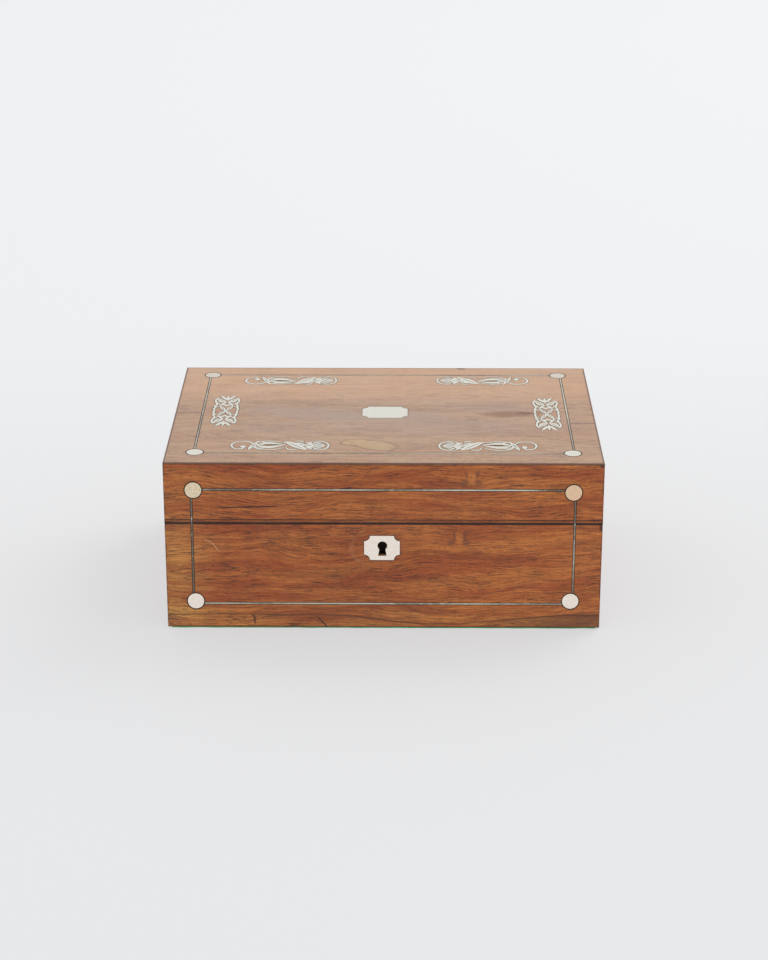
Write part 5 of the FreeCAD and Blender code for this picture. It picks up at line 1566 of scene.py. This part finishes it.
def lay_scroll(place_name, strokes, veins, centre, size):
    """One scroll of shell and its mastic; size mirrors or squeezes the drawing."""
    shell = scroll_parts(strokes, centre, size, 0.0, SHELL_HIGH, SHELL_STEP)
    dark = scroll_parts(strokes, centre, size, RIM, RIM_HIGH, RIM_STEP)
    dark += scroll_parts(veins, centre, size, 0.0, VEINS_HIGH, 0.0)
    if strokes is LONG_STROKES:
        middle, radius = BULB
        bulb = (centre[0] + middle[0] * size[0], centre[1] + middle[1] * size[1])
        shell.append(slab(circle(bulb, radius, BULB_POINTS), SUNK, BULB_HIGH, on_top))
        dark.append(slab(circle(bulb, radius + RIM, BULB_POINTS), SUNK, SKIN, on_top))
    piece = new_piece("scroll_shell_" + place_name, *merged(shell), top_pearl, "lid", "pearl")
    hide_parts("lid_scroll_inlays")
    new_piece("scroll_mastic_" + place_name, *merged(dark), mastic, "lid", "pewter")


SCROLLS = {
    "back_left": (LONG_STROKES, LONG_VEINS, (-70.0, 71.0), (1, 1)),
    "back_right": (LONG_STROKES, LONG_VEINS, (72.5, 71.6), (-1, 1)),
    "front_left": (LONG_STROKES, LONG_VEINS, (-71.9, -67.3), (1, -1)),
    "front_right": (LONG_STROKES, LONG_VEINS, (71.9, -67.5), (-1, -1)),
    "left_end": (SIDE_STROKES, SIDE_VEINS, (-114.2, 3.9), (0.87, 1)),
    "right_end": (SIDE_STROKES, SIDE_VEINS, (116.3, -1.6), (0.87, 1.07)),
}
for place_name, scroll in SCROLLS.items():
    lay_scroll(place_name, *scroll)
print("laid", len(SCROLLS), "scrolls")

# %% [markdown]
# ## A grid with two sides
# Baize, cushion and lining are all thin closed sheets, so one helper makes the grid for each: a
# lower and an upper layer of points, the small squares of both, and the wall round the rim.


# %% A thin closed sheet on a grid
def two_layers(columns, rows, point_at):
    """Points and faces of a closed sheet; point_at(u, v, layer) places each point."""
    points = []
    for layer in (0, 1):
        for row in range(rows + 1):
            for column in range(columns + 1):
                points.append(point_at(column / columns, row / rows, layer))
    width = columns + 1
    size = width * (rows + 1)
    faces = []
    for layer in (0, 1):
        for row in range(rows):
            for column in range(columns):
                a = layer * size + row * width + column
                faces.append((a, a + 1, a + 1 + width, a + width))
    rim = rim_points(columns, rows)
    for a, b in zip(rim, rim[1:] + rim[:1]):
        faces.append((a, b, b + size, a + size))
    return points, faces


def rim_points(columns, rows):
    """The numbers of the lower layer's points all round the rim."""
    width = columns + 1
    rim = list(range(width))
    rim += [row * width + columns for row in range(1, rows + 1)]
    rim += [rows * width + column for column in range(columns - 1, -1, -1)]
    rim += [row * width for row in range(rows - 1, 0, -1)]
    return rim


print("two-sided grid ready")

# %% [markdown]
# ## Baize under the base
# Green baize was glued under the case so that it would not scratch a table. Only its cut edge
# shows, as an uneven green line. The mesh is a thin slab whose edge wanders by a fraction of a
# millimetre, as scissors leave it.

# %% Make the baize
BAIZE_GRID = (98, 64)
WANDER = 0.6 * MM
WAVES = 90.0
UNDER_BASE = 0.02 * MM


def snip(along, layer, seed):
    """How far the scissors strayed inwards at one place of the edge, in metres."""
    return WANDER * (0.6 + noise.noise(Vector((along * WAVES, layer * 0.4, seed))))


def baize_sheet():
    """The sheet under the base, cut by hand."""
    low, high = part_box("baize_pad")
    heights = (low[2], high[2] - UNDER_BASE)

    def point_at(u, v, layer):
        x = low[0] + (high[0] - low[0]) * u
        y = low[1] + (high[1] - low[1]) * v
        if u in (0.0, 1.0):
            x -= math.copysign(snip(y, layer, 3.0), x)
        if v in (0.0, 1.0):
            y -= math.copysign(snip(x, layer, 8.0), y)
        return x, y, heights[layer]

    piece = new_piece("baize_sheet", *two_layers(*BAIZE_GRID, point_at), baize, "root", "baize")
    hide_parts("baize_pad")


baize_sheet()

# %% [markdown]
# ## Padded velvet and silk
# The well has a loose velvet cushion, and the lid a padded silk panel drawn down with small
# covered buttons. Cloth simulation is the usual way to puff a pad. A thin closed pad is blown up
# with gentle pressure while its movement is capped, then smoothed by one subdivision.

# %% Puff a pad by cloth simulation
CLOTH_STIFFNESS = 12
CLOTH_BENDING = 0.6
CLOTH_MASS = 0.3


def add_cloth(piece, frames, pressure):
    """Cloth with pressure inside and no gravity."""
    modifier = piece.modifiers.new("puff", "CLOTH")
    settings = modifier.settings
    settings.quality = 6
    settings.mass = CLOTH_MASS
    settings.tension_stiffness = CLOTH_STIFFNESS
    settings.compression_stiffness = CLOTH_STIFFNESS
    settings.bending_stiffness = CLOTH_BENDING
    settings.use_pressure = True
    settings.uniform_pressure_force = pressure
    settings.effector_weights.gravity = 0.0
    modifier.collision_settings.use_collision = False
    modifier.point_cache.frame_start = 1
    modifier.point_cache.frame_end = frames
    return modifier


def puffed(piece, frames, pressure, cap):
    """Blow the pad up with cloth pressure, cap the movement and keep the result."""
    rest = [vertex.co.copy() for vertex in piece.data.vertices]
    modifier = add_cloth(piece, frames, pressure)
    scene = bpy.context.scene
    for number in range(1, frames + 1):
        scene.frame_set(number)
    graph = bpy.context.evaluated_depsgraph_get()
    moved = [vertex.co.copy() for vertex in piece.evaluated_get(graph).data.vertices]
    piece.modifiers.remove(modifier)
    for vertex, old, new in zip(piece.data.vertices, rest, moved):
        step = new - old
        if step.length > cap:
            step = step * (cap / step.length)
        vertex.co = old + step
    scene.frame_set(1)


def pad_slab(name, low, high, cell, material, body, slot, shape):
    """A closed pad on a grid; shape(u, v, side) gives the height, from 0 to 1, in its box."""
    columns = round((high[0] - low[0]) / cell)
    rows = round((high[1] - low[1]) / cell)

    def point_at(u, v, side):
        x = low[0] + (high[0] - low[0]) * u
        y = low[1] + (high[1] - low[1]) * v
        return x, y, low[2] + (high[2] - low[2]) * shape(u, v, side)

    return new_piece(name, *two_layers(columns, rows, point_at), material, body, slot)


def keep_inside(piece, low, high):
    """Hold every point of a pad inside its box."""
    for vertex in piece.data.vertices:
        for axis in range(3):
            vertex.co[axis] = min(max(vertex.co[axis], low[axis]), high[axis])


def smooth_shade(piece, levels=1):
    """Smooth shading, with one finer subdivision unless levels is 0."""
    for polygon in piece.data.polygons:
        polygon.use_smooth = True
    if levels:
        finer = piece.modifiers.new("finer", "SUBSURF")
        finer.levels = levels
        finer.render_levels = levels


print("pad helpers ready")

# %% [markdown]
# ## The cushion in the well
# The well in front of the movement keeps trinkets, so it has a loose velvet cushion. The pad
# starts a little smaller than its box, with rounded upper edges, and the pressure fills it out.

# %% The velvet cushion in the well
CUSHION_CELL = 4.5 * MM
CUSHION_INSET = 1.2 * MM
EDGE_ROUND = 7.0 * MM


def well_cushion():
    """The velvet cushion, blown up by the cloth simulation."""
    low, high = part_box("well_floor_pad")
    inner_low = Vector((low[0] + CUSHION_INSET, low[1] + CUSHION_INSET, low[2]))
    inner_high = Vector((high[0] - CUSHION_INSET, high[1] - CUSHION_INSET, high[2] - CUSHION_INSET))
    length, width = high[0] - low[0], high[1] - low[1]

    def crown(u, v, side):
        if side == 0:
            return 0.0
        from_rim = min(min(u, 1 - u) * length, min(v, 1 - v) * width)
        return 0.45 + 0.4 * min(1.0, from_rim / EDGE_ROUND) ** 0.5

    box = (inner_low, inner_high, CUSHION_CELL)
    pad = pad_slab("well_cushion", *box, velvet, "root", "velvet", crown)
    puffed(pad, frames=16, pressure=3.0, cap=2.5 * MM)
    keep_inside(pad, low, high)
    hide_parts("well_floor_pad")
    smooth_shade(pad)


well_cushion()
print("velvet cushion in the well")

# %% [markdown]
# ## Buttoned silk in the lid
# The lining's buttons sit in staggered rows and pull the silk down to the board, with a crease
# between each button and its slanting neighbours. Since the buttons fix its shape, it is made
# directly: a dimple at each button, a narrow valley along each crease, and a rounded rim.

# %% The buttoned silk in the lid
BUTTON_COLUMNS, BUTTON_ROWS = 6, 4
DIMPLE = 7.5 * MM
CREASE_HALF = 2.2 * MM
CREASE_END = 46 * MM
CREASE_FADE = 60 * MM
RIM_ROUND = 6.0 * MM
SILK_CELL = 2.6 * MM


def button_places():
    """Staggered rows of buttons, as shares of the panel's length and width."""
    places = []
    for row in range(BUTTON_ROWS):
        odd = row % 2
        for column in range(BUTTON_COLUMNS - odd):
            places.append(((column + 0.5 + 0.5 * odd) / BUTTON_COLUMNS, (row + 0.5) / BUTTON_ROWS))
    return places


def crease_at(dx, dy, slope):
    """How deep the two slanting creases of one button are at (dx, dy) from it."""
    away = math.hypot(dx, dy)
    if away >= CREASE_END:
        return 0.0
    depth = 0.0
    for steep in (-slope, slope):
        off = abs(dy - steep * dx) / math.hypot(1, steep)
        depth = max(depth, math.exp(-((off / CREASE_HALF) ** 2)) * (1 - away / CREASE_FADE))
    return depth


def quilt_shape(buttons, length, width):
    """The shape(u, v, side) of the silk: full height above, dimples and creases below."""
    slope = (width / BUTTON_ROWS) / (length / BUTTON_COLUMNS / 2)

    def quilt(u, v, side):
        if side == 1:
            return 1.0
        offsets = [((u - a) * length, (v - b) * width) for a, b in buttons]
        away = min(math.hypot(dx, dy) for dx, dy in offsets)
        dimple = math.exp(-((away / DIMPLE) ** 2))
        crease = max(crease_at(dx, dy, slope) for dx, dy in offsets)
        from_rim = min(min(u, 1 - u) * length, min(v, 1 - v) * width)
        edge = min(1.0, from_rim / RIM_ROUND) ** 0.5
        return 1.0 - edge * (0.80 - 0.62 * dimple - 0.30 * crease)

    return quilt


print(len(button_places()), "buttons, and the creases between them")

# %% [markdown]
# ## Covered buttons
# A covered button is a low dome with cloth drawn over it. Rings of points step down from the
# crown to the rim, and a flat face closes the back.


# %% Make the lining and its buttons
BUTTON_RADIUS = 3.4 * MM
BUTTON_HEIGHT = 1.6 * MM
BUTTON_DEEP = 2.2 * MM


def button(centre, rings=5, around=20):
    """A low dome that faces down."""
    points = [centre + Vector((0, 0, -BUTTON_HEIGHT))]
    for ring in range(1, rings + 1):
        turn = ring / rings * math.pi / 2
        for i in range(around):
            angle = 2 * math.pi * i / around
            flat = Vector((math.cos(angle), math.sin(angle), 0)) * BUTTON_RADIUS * math.sin(turn)
            points.append(centre + flat + Vector((0, 0, -BUTTON_HEIGHT * math.cos(turn))))
    faces = [(0, 1 + i, 1 + (i + 1) % around) for i in range(around)]
    for ring in range(rings - 1):
        for i in range(around):
            a, b = 1 + ring * around + i, 1 + ring * around + (i + 1) % around
            faces.append((a, b, b + around, a + around))
    last = 1 + (rings - 1) * around
    faces.append(tuple(last + i for i in range(around)))
    return points, faces


def lid_lining():
    """The quilted silk panel and its buttons."""
    low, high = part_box("lid_lining_pad")
    length, width = high[0] - low[0], high[1] - low[1]
    buttons = button_places()
    quilt = quilt_shape(buttons, length, width)
    pad = pad_slab("lid_silk_lining", low, high, SILK_CELL, silk, "lid", "velvet", quilt)
    keep_inside(pad, low, high)
    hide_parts("lid_lining_pad")
    smooth_shade(pad)
    height = high[2] - BUTTON_DEEP
    caps = [button(Vector((low[0] + length * u, low[1] + width * v, height))) for u, v in buttons]
    smooth_shade(new_piece("lid_silk_buttons", *merged(caps), silk, "lid", "velvet"), 0)


lid_lining()
print("silk lining with", len(button_places()), "covered buttons")

# %% [markdown]
# ## Studio
# A pale floor that runs far back serves as both table and backdrop. Its paper glows a little, a painted
# light that keeps the shadow round the foot faint, and it is painted whiter towards the back, a painted
# light on the far floor. Most of the light is an even bright surround. One broad panel high on the right and
# behind gives it a direction.

# %% Floor and light
GLOW = 0.52
FLOOR_REACH = 9.0
DAYLIGHT = (0.985, 0.992, 1.0, 1.0)
PAPER_NEAR = (0.262, 0.264, 0.269, 1.0)
PAPER_FAR = (0.312, 0.314, 0.318, 1.0)


def pale_paper():
    """White paper with a painted glow, painted whiter towards the back as painted light, with a faint random
    drift.
    """
    material, tree, shader = new_material(
        "pale_paper", Roughness=0.85, Specular_IOR_Level=0.1, Emission_Strength=GLOW
    )
    shader.inputs["Emission Color"].default_value = DAYLIGHT
    coords = own_place(tree)
    drift = times(tree, cloud(tree, coords, scale=1.2, detail=2.0), 0.2)
    _, y, _ = split(tree, coords)
    # painted light: the paper gets whiter towards the back, with a faint random drift
    whiter = calc(tree, "ADD", grade(tree, y, -0.15, 0.75), drift)
    wire(tree, shader, Base_Color=blend(tree, whiter, PAPER_NEAR, PAPER_FAR))
    return material


def pale_floor():
    """One wide sheet that serves as table and backdrop."""
    size = FLOOR_REACH
    corners = [(-size, -size, 0), (size, -size, 0), (size, size, 0), (-size, size, 0)]
    mesh = bpy.data.meshes.new("floor")
    mesh.from_pydata(corners, [], [(0, 1, 2, 3)])
    mesh.materials.append(pale_paper())
    floor = bpy.data.objects.new("floor", mesh)
    bpy.context.collection.objects.link(floor)


def area_light(name, place_at, aim, size, power, colour):
    """A rectangular soft light, turned towards a point."""
    data = bpy.data.lights.new(name, "AREA")
    data.shape = "RECTANGLE"
    data.size, data.size_y = size
    data.energy = power
    data.color = colour
    lamp = bpy.data.objects.new(name, data)
    lamp.location = place_at
    lamp.rotation_euler = (Vector(aim) - Vector(place_at)).to_track_quat("-Z", "Y").to_euler()
    bpy.context.collection.objects.link(lamp)


def surround(strength):
    """An even bright surround, as inside a light tent."""
    world = bpy.data.worlds.new("studio")
    bpy.context.scene.world = world
    world.use_nodes = True
    background = world.node_tree.nodes["Background"]
    background.inputs["Color"].default_value = DAYLIGHT
    background.inputs["Strength"].default_value = strength


pale_floor()
surround(0.93)
area_light("window", (2.6, 2.2, 3.4), (0.0, 0.0, 0.05), (2.6, 2.6), 60.0, (1.0, 0.99, 0.97))
bpy.context.scene.view_settings.view_transform = "Standard"
print("studio lit")

# %% [markdown]
# ## Camera
# The box is seen from the front and a little above with a fairly long lens, which keeps its
# edges nearly parallel. A camera can be turned by angles, but three vectors are plainer: its
# right, its up and its back direction. They become the columns of its matrix, and right leans a
# third of a degree off the box's own long edge, because the camera does not stand quite square.

# %% Set the camera
RIGHT = Vector((1.0, 0.0063, 0.0004)).normalized()
BACK = Vector((0.0057, -0.9313, 0.3641)).normalized()
UP = BACK.cross(RIGHT).normalized()
CAMERA_AT = Vector((0.0095, -1.6023, 0.6980))
camera_data = bpy.data.cameras.new("camera")
camera_data.lens = 89.0
camera_data.sensor_width = 36.0
camera = bpy.data.objects.new("camera", camera_data)
turned = Matrix((RIGHT, UP, BACK)).transposed().to_4x4()
camera.matrix_world = Matrix.Translation(CAMERA_AT) @ turned
bpy.context.collection.objects.link(camera)
bpy.context.scene.camera = camera
print("camera lens", camera_data.lens, "mm")
